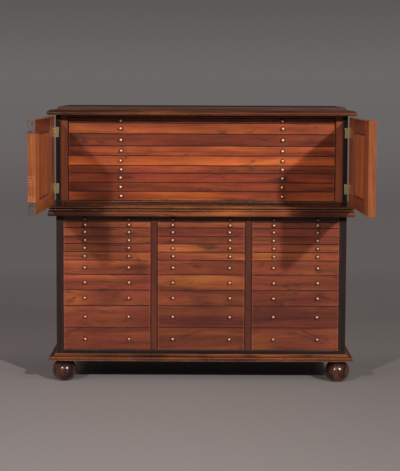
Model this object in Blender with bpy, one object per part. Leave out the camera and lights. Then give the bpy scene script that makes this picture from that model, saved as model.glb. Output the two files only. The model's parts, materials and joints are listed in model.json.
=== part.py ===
"""Collectors' cabinet in wood with brass fittings.

Nine long shallow drawers sit behind a pair of framed doors, above three banks of eleven drawers.
A moulded cornice, waist and base run round the case, which stands on four turned bun feet.
Metres, +Z up, front towards -Y. The origin lies on the floor, at the middle of the whole
cabinet's footprint as it stands with its doors open.
"""

import math

import bmesh
import bpy
from mathutils import Matrix, Vector

# Case
CASE_WIDTH = 1.120
CASE_DEPTH = 0.560
SIDE_THICKNESS = 0.025
LINING_THICKNESS = 0.020
LINING_SETBACK = 0.010
LINING_REBATE = 0.0065
PARTITION_THICKNESS = 0.0235
BACK_THICKNESS = 0.012
BACK_BOARDS = 8
BACK_GROOVE = 0.003
SEAT_GAP = 0.0003
JOIN_DEPTH = 0.002
COLUMNS = 3

# Heights of the layers from the floor up
FOOT_HEIGHT = 0.085
BASE_HEIGHT = 0.025
BOTTOM_BOARD_HEIGHT = 0.013
WAIST_HEIGHT = 0.0385
FLOOR_EDGE_HEIGHT = 0.0165
HEAD_BOARD_HEIGHT = 0.009
CORNICE_HEIGHT = 0.0195
TOP_BOARD_HEIGHT = 0.012
HEAD_ROOM = 0.002

# Drawer heights, top to bottom, each with its share of the gap to the next
UPPER_HEIGHTS = (0.020, 0.0415, 0.046, 0.038, 0.0375, 0.0295, 0.036, 0.0345, 0.0365)
LOWER_HEIGHTS = (0.023, 0.023, 0.033, 0.029, 0.032, 0.032, 0.056, 0.060, 0.061, 0.085, 0.089)

# Drawers
DRAWER_BACK_GAP = 0.028
DRAWER_GAP = 0.001
DRAWER_SIDE_CLEARANCE = 0.001
FRONT_THICKNESS = 0.015
TRAY_WALL = 0.008
TRAY_FLOOR = 0.003
TRAY_TOP_DROP = 0.002
LOWER_RECESS = 0.003
KNOB_DOOR_CLEARANCE = 0.010

# Runners under the drawers' sides
RUNNER_WIDTH = 0.007
RUNNER_HEIGHT = 0.005
RUNNER_LIFT = 0.001
RUNNER_START_GAP = 0.001
RUNNER_END_GAP = 0.004

# Turned brass knobs, and the distance between the two on a drawer
KNOB_DIAMETER = 0.0125
KNOB_NECK_DIAMETER = 0.0055
KNOB_ROSE_DIAMETER = 0.009
KNOB_ROSE_HEIGHT = 0.0013
KNOB_NECK_LENGTH = 0.0027
KNOB_SWELL_LENGTH = 0.005
KNOB_DOME_LENGTH = 0.005
KNOB_TENON = 0.002
KNOB_SIDES = 8
UPPER_KNOB_SPACING = 0.623
OUTER_KNOB_SPACING = 0.170
MIDDLE_KNOB_SPACING = 0.220

# Mouldings: overhang past the sides, and what the front has beyond that
BASE_OVERHANG = 0.028
BASE_FRONT_EXTRA = 0.002
BASE_FILLET = 0.013
BASE_TOP_OVERHANG = 0.006
WAIST_OVERHANG = 0.028
WAIST_BODY = 0.020
WAIST_BEAD = 0.008
WAIST_FILLET = 0.0065
WAIST_GROOVE = 0.006
WAIST_BEAD_SETBACK = 0.0015
WAIST_FOOT_OVERHANG = 0.024
CORNICE_OVERHANG = 0.030
CORNICE_LIP = 0.007
CORNICE_SOFFIT_OVERHANG = 0.020
CORNICE_TOP_OVERHANG = 0.0135
DOOR_COVER = 0.020
TOP_BOARD_INSET = 0.007
TOP_BOARD_EDGE = 0.003
CURVE_STEPS = 4

# Bun feet
FOOT_DIAMETER = 0.095
FOOT_NECK_DIAMETER = 0.066
FOOT_NECK_HEIGHT = 0.010
FOOT_PAD_DIAMETER = 0.044
FOOT_INSET = 0.056
FOOT_SIDES = 18
FOOT_RINGS = 8

# Doors
DOOR_THICKNESS = 0.027
DOOR_GAP = 0.003
DOOR_HEAD_CLEARANCE = 0.006
DOOR_FOOT_CLEARANCE = 0.005
DOOR_MEETING_GAP = 0.002
DOOR_REST_ANGLE = math.radians(91.5)
HINGE_STILE = 0.130
LEADING_STILE = 0.100
TOP_RAIL = 0.050
BOTTOM_RAIL = 0.046
PANEL_THICKNESS = 0.019
PANEL_BEVEL = 0.005

# Butt hinges
HINGE_HEIGHT = 0.039
HINGE_INSET = 0.060
LEAF_WIDTH = 0.0115
LEAF_THICKNESS = 0.0015
KNUCKLE_RADIUS = 0.003
KNUCKLE_CLEARANCE = 0.0004
PIN_RADIUS = 0.0014
PIN_CLEARANCE = 0.0003
KNUCKLE_SIDES = 12
KNUCKLES = 3

# Mesh settings
MERGE_DISTANCE = 1e-6
SMOOTH_ANGLE = math.radians(40)

# Levels
BASE_BOTTOM = FOOT_HEIGHT
BASE_TOP = BASE_BOTTOM + BASE_HEIGHT
BOTTOM_TOP = BASE_TOP + BOTTOM_BOARD_HEIGHT
WAIST_BOTTOM = BOTTOM_TOP + sum(LOWER_HEIGHTS) + HEAD_ROOM
WAIST_LEDGE = WAIST_BOTTOM + WAIST_HEIGHT
FLOOR_TOP = WAIST_LEDGE + FLOOR_EDGE_HEIGHT
HEAD_BOTTOM = FLOOR_TOP + sum(UPPER_HEIGHTS) + HEAD_ROOM
CORNICE_BOTTOM = HEAD_BOTTOM + HEAD_BOARD_HEIGHT
CORNICE_TOP = CORNICE_BOTTOM + CORNICE_HEIGHT
CABINET_TOP = CORNICE_TOP + TOP_BOARD_HEIGHT

# Plan
HALF_WIDTH = CASE_WIDTH / 2
INNER_HALF = HALF_WIDTH - SIDE_THICKNESS
LINED_HALF = INNER_HALF - LINING_THICKNESS
COLUMN_WIDTH = (2 * INNER_HALF - (COLUMNS - 1) * PARTITION_THICKNESS) / COLUMNS
COLUMN_STEP = COLUMN_WIDTH + PARTITION_THICKNESS
KNOB_PROJECTION = KNOB_ROSE_HEIGHT + KNOB_NECK_LENGTH + KNOB_SWELL_LENGTH + KNOB_DOME_LENGTH
UPPER_RECESS = KNOB_PROJECTION + KNOB_DOOR_CLEARANCE
WAIST_FRONT_EXTRA = DOOR_GAP + DOOR_THICKNESS + DOOR_COVER - WAIST_OVERHANG
CORNICE_FRONT_EXTRA = DOOR_GAP + DOOR_THICKNESS + DOOR_COVER + CORNICE_LIP - CORNICE_OVERHANG
RUNNER_START = UPPER_RECESS + FRONT_THICKNESS + RUNNER_START_GAP

# Door hinge line and the footprint that sets the origin
KNUCKLE_LENGTH = HINGE_HEIGHT / KNUCKLES
AXIS_OUT = KNUCKLE_RADIUS + KNUCKLE_CLEARANCE
AXIS_FORWARD = DOOR_GAP / 2
AXIS_X = HALF_WIDTH + AXIS_OUT
DOOR_WIDTH = HALF_WIDTH - DOOR_MEETING_GAP / 2
DOOR_BOTTOM = WAIST_LEDGE + DOOR_FOOT_CLEARANCE
DOOR_HEIGHT = CORNICE_BOTTOM - DOOR_HEAD_CLEARANCE - DOOR_BOTTOM
DOOR_REACH = (AXIS_FORWARD + (AXIS_OUT + DOOR_WIDTH) * math.sin(DOOR_REST_ANGLE)
              + AXIS_FORWARD * math.cos(DOOR_REST_ANGLE))
FRONT_Y = (DOOR_REACH - CASE_DEPTH) / 2
BACK_Y = FRONT_Y + CASE_DEPTH
BACK_FACE_Y = BACK_Y - BACK_THICKNESS

# Turns an outline drawn in (depth, height) and extruded up into one that runs across the cabinet
ACROSS = Matrix(((0, 0, 1, 0), (1, 0, 0, 0), (0, 1, 0, 0), (0, 0, 0, 1)))


def clear_scene():
    """Remove whatever the file starts with."""
    for old in list(bpy.data.objects):
        bpy.data.objects.remove(old)


def make_material(name, colour, roughness, metallic=0.0):
    """A Principled material of one colour."""
    material = bpy.data.materials.new(name)
    material.use_nodes = True
    shader = material.node_tree.nodes["Principled BSDF"]
    shader.inputs["Base Color"].default_value = (*colour, 1.0)
    shader.inputs["Roughness"].default_value = roughness
    shader.inputs["Metallic"].default_value = metallic
    return material


def add_object(name, shape, material=None):
    """Turn a bmesh into an object at the origin, with its faces pointing out."""
    bmesh.ops.recalc_face_normals(shape, faces=shape.faces)
    mesh = bpy.data.meshes.new(name)
    shape.to_mesh(mesh)
    shape.free()
    if material:
        mesh.materials.append(material)
    piece = bpy.data.objects.new(name, mesh)
    bpy.context.scene.collection.objects.link(piece)
    return piece


def combine(piece, shape, operation):
    """Join a shape to a piece, or cut it away, and drop the tool that did it."""
    tool = add_object(piece.name + "_tool", shape)
    modifier = piece.modifiers.new(operation, "BOOLEAN")
    modifier.operation = operation
    modifier.object = tool
    result = piece.evaluated_get(bpy.context.evaluated_depsgraph_get())
    joined = bpy.data.meshes.new_from_object(result)
    piece.modifiers.clear()
    piece.data = joined
    bpy.data.objects.remove(tool)


def place(piece, root, location, turn=0.0):
    """Set a piece at its place under the cabinet's root."""
    piece.location = location
    piece.rotation_euler.z = turn
    piece.parent = root


def shade_round(piece):
    """Shade the turned surfaces smooth and keep the arrises sharp."""
    piece.data.shade_smooth()
    piece.data.set_sharp_from_angle(angle=SMOOTH_ANGLE)


def add_box(shape, low, high):
    """Add a box between two corners, in either order, to a bmesh."""
    low, high = Vector(low), Vector(high)
    size = high - low
    stretch = Matrix.Diagonal((abs(size.x), abs(size.y), abs(size.z), 1.0))
    bmesh.ops.create_cube(shape, size=1.0, matrix=Matrix.Translation((low + high) / 2) @ stretch)


def boxes(*corners):
    """A bmesh of boxes, each given by two opposite corners."""
    shape = bmesh.new()
    for low, high in corners:
        add_box(shape, low, high)
    return shape


def add_lathe(shape, profile, sides, matrix=Matrix()):
    """Add a turned form to a bmesh; the profile of (radius, height) starts and ends on the axis."""
    others = set(shape.verts)
    points = [shape.verts.new((radius, 0.0, height)) for radius, height in profile]
    edges = [shape.edges.new(pair) for pair in zip(points, points[1:])]
    bmesh.ops.spin(shape, geom=points + edges, axis=(0, 0, 1), cent=(0, 0, 0),
                   angle=2 * math.pi, steps=sides, use_merge=True)
    turned = [vert for vert in shape.verts if vert not in others]
    bmesh.ops.remove_doubles(shape, verts=turned, dist=MERGE_DISTANCE)
    turned = [vert for vert in shape.verts if vert not in others]
    bmesh.ops.transform(shape, matrix=matrix, verts=turned)
    return shape


def prism(outline, low, high):
    """Extrude an outline of (x, y) points from one height to another."""
    shape = bmesh.new()
    face = shape.faces.new([shape.verts.new((x, y, low)) for x, y in outline])
    top = bmesh.ops.extrude_face_region(shape, geom=[face])["geom"]
    lift = [item for item in top if isinstance(item, bmesh.types.BMVert)]
    bmesh.ops.translate(shape, vec=(0, 0, high - low), verts=lift)
    return shape


def loft(rings):
    """A closed bmesh through rings of as many points each."""
    shape = bmesh.new()
    loops = [[shape.verts.new(point) for point in ring] for ring in rings]
    for near, far in zip(loops, loops[1:]):
        for index in range(len(near)):
            before = index - 1
            shape.faces.new((near[before], near[index], far[index], far[before]))
    shape.faces.new(loops[0])
    shape.faces.new(loops[-1])
    return shape


def cavetto(low, high):
    """Hollow quarter curve of (height, overhang) points between two ends."""
    points = []
    for step in range(CURVE_STEPS + 1):
        angle = math.pi / 2 * step / CURVE_STEPS
        points.append((high[0] - (high[0] - low[0]) * math.cos(angle),
                       low[1] + (high[1] - low[1]) * math.sin(angle)))
    return points


def ovolo(low, high):
    """Round quarter curve of (height, overhang) points between two ends."""
    points = []
    for step in range(CURVE_STEPS + 1):
        angle = math.pi / 2 * step / CURVE_STEPS
        points.append((low[0] + (high[0] - low[0]) * math.sin(angle),
                       high[1] + (low[1] - high[1]) * math.cos(angle)))
    return points


def moulded_board(name, levels, material):
    """Loft a board through level rectangles with mitred mouldings, then saw it flush with the case's back.

    Each level is (height, end overhang, front overhang, back overhang) past the case.
    """
    rings = []
    for height, end, front, back in levels:
        corners = ((-1, FRONT_Y - front), (1, FRONT_Y - front), (1, BACK_Y + back), (-1, BACK_Y + back))
        rings.append([(side * (HALF_WIDTH + end), y, height) for side, y in corners])
    board = add_object(name, loft(rings), material)
    waste = boxes(((-CASE_WIDTH, BACK_Y, 0.0), (CASE_WIDTH, BACK_Y + CASE_DEPTH, 2 * CABINET_TOP)))
    combine(board, waste, "DIFFERENCE")
    return board


def moulding_levels(profile, front_extra):
    """Level rectangles for a profile of (height, overhang) points."""
    return [(height, out, out + front_extra, out) for height, out in profile]


def make_base(material):
    """Base board with a fillet and a hollow moulding, and the case's bottom board on it."""
    fillet_top = BASE_BOTTOM + BASE_FILLET
    profile = [(BASE_BOTTOM, BASE_OVERHANG)]
    profile += cavetto((fillet_top, BASE_OVERHANG), (BASE_TOP, BASE_TOP_OVERHANG))
    levels = moulding_levels(profile, BASE_FRONT_EXTRA)
    bottom_end = -SIDE_THICKNESS - SEAT_GAP
    bottom_back = -BACK_THICKNESS - SEAT_GAP
    levels += [(height, bottom_end, -LOWER_RECESS, bottom_back) for height in (BASE_TOP, BOTTOM_TOP)]
    return moulded_board("base_board", levels, material)


def make_waist(material):
    """Waist board: the reeded moulding between the stages and the upper floor, let round the sides."""
    swell = WAIST_BOTTOM + WAIST_BODY / 3
    body_top = WAIST_BOTTOM + WAIST_BODY
    bead_top = body_top + WAIST_BEAD
    fillet_bottom = WAIST_LEDGE - WAIST_FILLET
    bead_out = WAIST_OVERHANG - WAIST_BEAD_SETBACK
    groove_out = WAIST_OVERHANG - WAIST_GROOVE
    profile = ovolo((swell, WAIST_OVERHANG), (WAIST_BOTTOM, WAIST_FOOT_OVERHANG))[::-1]
    profile += ovolo((swell, WAIST_OVERHANG), (body_top, groove_out))[1:]
    profile += [((body_top + bead_top) / 2, bead_out), (bead_top, bead_out)]
    profile += [(bead_top, groove_out), (fillet_bottom, groove_out)]
    profile += [(fillet_bottom, WAIST_OVERHANG), (WAIST_LEDGE, WAIST_OVERHANG)]
    levels = moulding_levels(profile, WAIST_FRONT_EXTRA)
    levels += [(WAIST_LEDGE, 0.0, 0.0, 0.0), (FLOOR_TOP, 0.0, 0.0, 0.0)]
    board = moulded_board("waist_board", levels, material)
    past_back = BACK_Y + CASE_DEPTH
    low, high = WAIST_BOTTOM - WAIST_HEIGHT, FLOOR_TOP + WAIST_HEIGHT
    for side in (-1, 1):
        slot = boxes(((side * (INNER_HALF - SEAT_GAP), FRONT_Y - SEAT_GAP, low),
                      (side * (HALF_WIDTH + SEAT_GAP), past_back, high)))
        combine(board, slot, "DIFFERENCE")
    rebate = boxes(((-HALF_WIDTH, BACK_FACE_Y - SEAT_GAP, low), (HALF_WIDTH, past_back, high)))
    combine(board, rebate, "DIFFERENCE")
    return board


def make_cornice(material):
    """Cornice with a rounded lip, the head board under it and the raised board on top."""
    lip = CORNICE_BOTTOM + CORNICE_LIP
    profile = ovolo((lip, CORNICE_OVERHANG), (CORNICE_BOTTOM, CORNICE_SOFFIT_OVERHANG))[::-1]
    profile += ovolo((lip, CORNICE_OVERHANG), (CORNICE_TOP, CORNICE_TOP_OVERHANG))[1:]
    head_end = LINED_HALF - SEAT_GAP - HALF_WIDTH
    head_front = -LINING_SETBACK
    head_back = -BACK_THICKNESS - SEAT_GAP
    levels = [(height, head_end, head_front, head_back) for height in (HEAD_BOTTOM, CORNICE_BOTTOM)]
    levels += moulding_levels(profile, CORNICE_FRONT_EXTRA)
    shoulder = CABINET_TOP - TOP_BOARD_EDGE
    rim = -TOP_BOARD_INSET - TOP_BOARD_EDGE
    levels += [(CORNICE_TOP, -TOP_BOARD_INSET, -TOP_BOARD_INSET, TOP_BOARD_EDGE),
               (shoulder, -TOP_BOARD_INSET, -TOP_BOARD_INSET, TOP_BOARD_EDGE),
               (CABINET_TOP, rim, rim, TOP_BOARD_EDGE)]
    return moulded_board("cornice_top", levels, material)


def drawer_levels(heights, top):
    """Height of the bottom of each drawer's space, listed top to bottom."""
    levels = []
    for height in heights:
        top -= height
        levels.append(top)
    return levels


UPPER_LEVELS = drawer_levels(UPPER_HEIGHTS, HEAD_BOTTOM - HEAD_ROOM)
LOWER_LEVELS = drawer_levels(LOWER_HEIGHTS, WAIST_BOTTOM - HEAD_ROOM)


def runner_boxes(face, inward, levels):
    """Runners for a bank of drawers, let into a face at x and standing out along inward."""
    root = face - inward * JOIN_DEPTH
    tip = face + inward * RUNNER_WIDTH
    start, end = FRONT_Y + RUNNER_START, BACK_FACE_Y - RUNNER_END_GAP
    return [((root, start, level + RUNNER_LIFT), (tip, end, level + RUNNER_LIFT + RUNNER_HEIGHT))
            for level in levels]


def hinge_heights():
    """Heights of the middles of the two hinges on a door."""
    return DOOR_BOTTOM + HINGE_INSET, DOOR_BOTTOM + DOOR_HEIGHT - HINGE_INSET


def make_side(name, side, material):
    """Side of the case, full height, with the upper lining in its rebate, runners and hinge mortises."""
    low, high = BASE_TOP + SEAT_GAP, CORNICE_BOTTOM - SEAT_GAP
    plank = boxes(((side * INNER_HALF, FRONT_Y, low), (side * HALF_WIDTH, BACK_Y, high)))
    board = add_object(name, plank, material)
    lining_y = FRONT_Y + LINING_SETBACK
    rebate = boxes(((side * LINED_HALF, FRONT_Y - LINING_SETBACK, FLOOR_TOP),
                    (side * (INNER_HALF + LINING_REBATE), lining_y + SEAT_GAP, high + SEAT_GAP)))
    combine(board, rebate, "DIFFERENCE")
    lining = boxes(((side * (INNER_HALF + LINING_REBATE + JOIN_DEPTH), lining_y, FLOOR_TOP + SEAT_GAP),
                    (side * LINED_HALF, BACK_FACE_Y - SEAT_GAP, high - SEAT_GAP)))
    combine(board, lining, "UNION")
    runners = runner_boxes(side * INNER_HALF, -side, LOWER_LEVELS)
    runners += runner_boxes(side * LINED_HALF, -side, UPPER_LEVELS)
    combine(board, boxes(*runners), "UNION")
    half = HINGE_HEIGHT / 2 + SEAT_GAP
    depth = LEAF_THICKNESS + SEAT_GAP
    inner_edge = side * (HALF_WIDTH - LEAF_WIDTH - SEAT_GAP)
    outer_edge = side * (HALF_WIDTH + LEAF_WIDTH)
    for middle in hinge_heights():
        mortise = boxes(((inner_edge, FRONT_Y - depth, middle - half),
                         (outer_edge, FRONT_Y + depth, middle + half)))
        combine(board, mortise, "DIFFERENCE")
    return board


def make_partition(name, side, material):
    """Upright between two banks of drawers, with runners on both faces."""
    middle = side * COLUMN_STEP / 2
    half = PARTITION_THICKNESS / 2
    low, high = BOTTOM_TOP + SEAT_GAP, WAIST_BOTTOM - SEAT_GAP
    front, back = FRONT_Y + LOWER_RECESS, BACK_FACE_Y - SEAT_GAP
    plank = boxes(((middle - half, front, low), (middle + half, back, high)))
    board = add_object(name, plank, material)
    runners = runner_boxes(middle - half, -1, LOWER_LEVELS)
    runners += runner_boxes(middle + half, 1, LOWER_LEVELS)
    combine(board, boxes(*runners), "UNION")
    return board


def make_back(material):
    """Back of upright boards, with a groove where two boards meet."""
    half = INNER_HALF - SEAT_GAP
    width = 2 * half / BACK_BOARDS
    outline = [(half, BACK_FACE_Y), (-half, BACK_FACE_Y), (-half, BACK_Y)]
    for index in range(1, BACK_BOARDS):
        seam = -half + index * width
        outline += [(seam - BACK_GROOVE, BACK_Y), (seam, BACK_Y - BACK_GROOVE), (seam + BACK_GROOVE, BACK_Y)]
    outline.append((half, BACK_Y))
    boards = prism(outline, BASE_TOP + SEAT_GAP, CORNICE_BOTTOM - SEAT_GAP)
    return add_object("back_panel", boards, material)


def foot_profile():
    """Turned outline of a bun foot, from the pad up to the neck."""
    ball_top = FOOT_HEIGHT - FOOT_NECK_HEIGHT
    radius = FOOT_DIAMETER / 2
    start = -math.acos(FOOT_PAD_DIAMETER / FOOT_DIAMETER)
    end = math.acos(FOOT_NECK_DIAMETER / FOOT_DIAMETER)
    scale = ball_top / (math.sin(end) - math.sin(start))
    profile = [(0.0, 0.0)]
    for ring in range(FOOT_RINGS + 1):
        angle = start + (end - start) * ring / FOOT_RINGS
        profile.append((radius * math.cos(angle), scale * (math.sin(angle) - math.sin(start))))
    neck = FOOT_NECK_DIAMETER / 2
    profile += [(neck, FOOT_HEIGHT - SEAT_GAP), (0.0, FOOT_HEIGHT - SEAT_GAP)]
    return profile


def knob_profile():
    """Turned outline of a knob, from its tenon out to the middle of its domed face."""
    radius, neck, rose = KNOB_DIAMETER / 2, KNOB_NECK_DIAMETER / 2, KNOB_ROSE_DIAMETER / 2
    neck_height = KNOB_ROSE_HEIGHT + KNOB_NECK_LENGTH
    swell_height = neck_height + KNOB_SWELL_LENGTH
    half_way = math.radians(45)
    shoulder = (radius * math.cos(half_way), swell_height + KNOB_DOME_LENGTH * math.sin(half_way))
    return [(0.0, -KNOB_TENON), (rose, -KNOB_TENON), (rose, KNOB_ROSE_HEIGHT), (neck, neck_height),
            (radius, swell_height), shoulder, (0.0, KNOB_PROJECTION)]


def make_drawer(name, width, height, recess, knob_spacing, material):
    """Drawer with its origin at the bottom middle of its front: an open tray behind a taller front."""
    half = width / 2 - DRAWER_SIDE_CLEARANCE
    depth = CASE_DEPTH - BACK_THICKNESS - recess - DRAWER_BACK_GAP
    front_low, front_high = DRAWER_GAP / 2, height - DRAWER_GAP / 2
    tray_low, tray_high = RUNNER_LIFT + RUNNER_HEIGHT + SEAT_GAP, height - TRAY_TOP_DROP
    back_of_front = FRONT_THICKNESS
    outline = [(0.0, front_high), (0.0, front_low), (back_of_front, front_low), (back_of_front, tray_low),
               (depth, tray_low), (depth, tray_high), (back_of_front, tray_high), (back_of_front, front_high)]
    shape = prism(outline, -half, half)
    bmesh.ops.transform(shape, matrix=ACROSS, verts=shape.verts)
    drawer = add_object(name, shape, material)
    well = boxes(((TRAY_WALL - half, back_of_front + SEAT_GAP, tray_low + TRAY_FLOOR),
                  (half - TRAY_WALL, depth - TRAY_WALL, height + TRAY_WALL)))
    combine(drawer, well, "DIFFERENCE")
    knobs = bmesh.new()
    for side in (-1, 1):
        seat = Matrix.Translation((side * knob_spacing / 2, 0.0, height / 2))
        add_lathe(knobs, knob_profile(), KNOB_SIDES, seat @ Matrix.Rotation(math.pi / 2, 4, "X"))
    combine(drawer, knobs, "UNION")
    shade_round(drawer)
    return drawer


def add_knuckle(shape, radius, low, high):
    """Add a round barrel on the hinge line to a bmesh."""
    add_lathe(shape, [(0.0, low), (radius, low), (radius, high), (0.0, high)], KNUCKLE_SIDES)


def panel_well(inward, face, outward):
    """Cutter with sloping sides that leaves a door's panel sunk below one face of its frame."""
    sink = (DOOR_THICKNESS - PANEL_THICKNESS) / 2
    rings = []
    for depth, grow in ((-sink, PANEL_BEVEL), (sink, -PANEL_BEVEL)):
        near = inward * (AXIS_OUT + HINGE_STILE - grow)
        far = inward * (AXIS_OUT + DOOR_WIDTH - LEADING_STILE + grow)
        low, high = BOTTOM_RAIL - grow, DOOR_HEIGHT - TOP_RAIL + grow
        y = face - outward * depth
        rings.append([(near, y, low), (far, y, low), (far, y, high), (near, y, high)])
    return loft(rings)


def make_door(name, side, material):
    """Framed door, modelled shut, with its origin on the hinge line at its bottom edge.

    side is -1 for the left door and 1 for the right; the door runs from the hinge line to the middle.
    The moving leaf and middle knuckle of each hinge are part of the door.
    """
    inward = -side
    inner, outer = -AXIS_FORWARD, -AXIS_FORWARD - DOOR_THICKNESS
    slab = boxes(((inward * AXIS_OUT, outer, 0.0), (inward * (AXIS_OUT + DOOR_WIDTH), inner, DOOR_HEIGHT)))
    door = add_object(name, slab, material)
    combine(door, panel_well(inward, inner, 1), "DIFFERENCE")
    combine(door, panel_well(inward, outer, -1), "DIFFERENCE")
    half = (KNUCKLE_LENGTH - KNUCKLE_CLEARANCE) / 2
    for middle in (HINGE_INSET, DOOR_HEIGHT - HINGE_INSET):
        barrel, bore = bmesh.new(), bmesh.new()
        add_knuckle(barrel, KNUCKLE_RADIUS, middle - half, middle + half)
        add_knuckle(bore, PIN_RADIUS + PIN_CLEARANCE, middle - KNUCKLE_LENGTH, middle + KNUCKLE_LENGTH)
        leaf = boxes(((0.0, inner - LEAF_THICKNESS - SEAT_GAP, middle - half + SEAT_GAP),
                      (inward * (AXIS_OUT + LEAF_WIDTH), inner - SEAT_GAP, middle + half - SEAT_GAP)))
        combine(door, barrel, "UNION")
        combine(door, leaf, "UNION")
        combine(door, bore, "DIFFERENCE")
    shade_round(door)
    return door


def make_hinge(name, side, material):
    """Fixed half of a butt hinge: the leaf let into the case, two knuckles and the pin.

    The origin is on the hinge line at the hinge's middle.
    """
    inward = -side
    half, gap = HINGE_HEIGHT / 2, KNUCKLE_LENGTH / 2
    leaf_low, leaf_high = AXIS_FORWARD, AXIS_FORWARD + LEAF_THICKNESS
    leaf = boxes(((inward * (AXIS_OUT + SEAT_GAP), leaf_low, -half),
                  (inward * (AXIS_OUT + LEAF_WIDTH), leaf_high, half)))
    hinge = add_object(name, leaf, material)
    for low, high in ((-half, -gap), (gap, half)):
        arm = boxes(((0.0, leaf_low + SEAT_GAP, low + SEAT_GAP),
                     (inward * (AXIS_OUT + LEAF_WIDTH / 2), leaf_high - SEAT_GAP, high - SEAT_GAP)))
        barrel = bmesh.new()
        add_knuckle(barrel, KNUCKLE_RADIUS, low, high)
        combine(hinge, arm, "UNION")
        combine(hinge, barrel, "UNION")
    pin = bmesh.new()
    add_knuckle(pin, PIN_RADIUS, -half + SEAT_GAP, half - SEAT_GAP)
    combine(hinge, pin, "UNION")
    shade_round(hinge)
    return hinge


def make_feet(root, material):
    """Four turned bun feet under the corners of the base."""
    places = {"front": FRONT_Y - BASE_OVERHANG + FOOT_INSET, "back": BACK_Y - FOOT_INSET}
    for end, y in places.items():
        for hand, side in (("left", -1), ("right", 1)):
            bun = add_lathe(bmesh.new(), foot_profile(), FOOT_SIDES)
            foot = add_object(f"{end}_{hand}_foot", bun, material)
            shade_round(foot)
            place(foot, root, (side * (HALF_WIDTH + BASE_OVERHANG - FOOT_INSET), y, 0.0))


def make_drawers(root, material):
    """Long drawers above and three banks of short ones below, numbered from the top."""
    short = (COLUMN_WIDTH, LOWER_RECESS, LOWER_HEIGHTS, LOWER_LEVELS)
    banks = (("upper", 0.0, UPPER_KNOB_SPACING, 2 * LINED_HALF, UPPER_RECESS, UPPER_HEIGHTS, UPPER_LEVELS),
             ("left", -COLUMN_STEP, OUTER_KNOB_SPACING, *short),
             ("middle", 0.0, MIDDLE_KNOB_SPACING, *short),
             ("right", COLUMN_STEP, OUTER_KNOB_SPACING, *short))
    for bank, x, spacing, width, recess, heights, levels in banks:
        for number, (height, level) in enumerate(zip(heights, levels), start=1):
            drawer = make_drawer(f"{bank}_drawer_{number}", width, height, recess, spacing, material)
            place(drawer, root, (x, FRONT_Y + recess, level))


def make_doors(root, wood, brass):
    """The pair of doors, standing open, with the fixed halves of their hinges."""
    for hand, side in (("left", -1), ("right", 1)):
        door = make_door(f"{hand}_door", side, wood)
        place(door, root, (side * AXIS_X, FRONT_Y - AXIS_FORWARD, DOOR_BOTTOM), side * DOOR_REST_ANGLE)
        for end, middle in zip(("lower", "upper"), hinge_heights()):
            hinge = make_hinge(f"{hand}_{end}_hinge", side, brass)
            place(hinge, root, (side * AXIS_X, FRONT_Y - AXIS_FORWARD, middle))


def main():
    """Build the cabinet."""
    clear_scene()
    mahogany = make_material("drawer_mahogany", (0.27, 0.075, 0.032), 0.35)
    door_wood = make_material("door_mahogany", (0.25, 0.09, 0.04), 0.35)
    moulding = make_material("moulding_mahogany", (0.13, 0.045, 0.02), 0.3)
    dark = make_material("dark_case_wood", (0.022, 0.014, 0.011), 0.4)
    foot_wood = make_material("foot_wood", (0.05, 0.016, 0.011), 0.18)
    back_wood = make_material("back_pine", (0.16, 0.09, 0.05), 0.7)
    brass = make_material("brass", (0.70, 0.47, 0.20), 0.3, 1.0)
    root = bpy.data.objects.new("cabinet", None)
    bpy.context.scene.collection.objects.link(root)
    fixed = [make_base(moulding), make_waist(moulding), make_cornice(moulding), make_back(back_wood),
             make_side("left_side", -1, dark), make_side("right_side", 1, dark),
             make_partition("left_partition", -1, mahogany), make_partition("right_partition", 1, mahogany)]
    for piece in fixed:
        place(piece, root, (0.0, 0.0, 0.0))
    make_feet(root, foot_wood)
    make_doors(root, door_wood, brass)
    make_drawers(root, mahogany)


main()
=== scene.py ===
"""Looks of a collectors' cabinet: polished mahogany, dark case sides, brass fittings and bun feet.

Every piece of timber carries three values on its face corners for its finish to read: grain (along,
across and through the board, in metres), tone (lightness in doublings, redness, depth of colour) and
wear and shading (rubbed arris, with a painted highlight on the waist's bead; below zero, dirt, and
painted shade in hollows, in the gaps round drawer fronts and under overhangs). A drawer front also
carries knob: the place across and up from the front's middle, and how far out its two knobs are.
"""

import json
import math
import random

import bmesh
import bpy
from mathutils import Matrix, Vector


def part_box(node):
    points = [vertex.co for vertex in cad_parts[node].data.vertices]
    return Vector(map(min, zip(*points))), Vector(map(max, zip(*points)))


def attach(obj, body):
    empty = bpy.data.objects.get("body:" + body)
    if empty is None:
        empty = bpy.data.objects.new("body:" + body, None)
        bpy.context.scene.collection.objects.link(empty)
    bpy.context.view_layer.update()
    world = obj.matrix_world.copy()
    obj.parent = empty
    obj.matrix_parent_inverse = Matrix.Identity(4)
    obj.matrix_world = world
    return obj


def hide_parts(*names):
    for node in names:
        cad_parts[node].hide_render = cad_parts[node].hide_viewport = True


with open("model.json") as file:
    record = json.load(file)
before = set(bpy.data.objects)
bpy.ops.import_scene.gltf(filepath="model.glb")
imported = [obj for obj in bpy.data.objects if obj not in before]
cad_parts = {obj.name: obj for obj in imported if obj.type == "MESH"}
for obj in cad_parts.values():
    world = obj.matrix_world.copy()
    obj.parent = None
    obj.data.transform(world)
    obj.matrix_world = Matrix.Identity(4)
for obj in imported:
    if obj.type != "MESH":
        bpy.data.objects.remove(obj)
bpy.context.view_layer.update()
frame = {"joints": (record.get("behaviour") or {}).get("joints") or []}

# The photograph's frame and the camera that took it
IMAGE_HEIGHT = 471
FOCAL_LENGTH_PIXELS = 1560
CAMERA_X = -0.0054
CAMERA_HEIGHT = 1.142
CAMERA_DISTANCE = 5.99
CAMERA_PITCH = math.radians(5.442)
CAMERA_ROLL = math.radians(0.238)
SENSOR = 36

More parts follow.
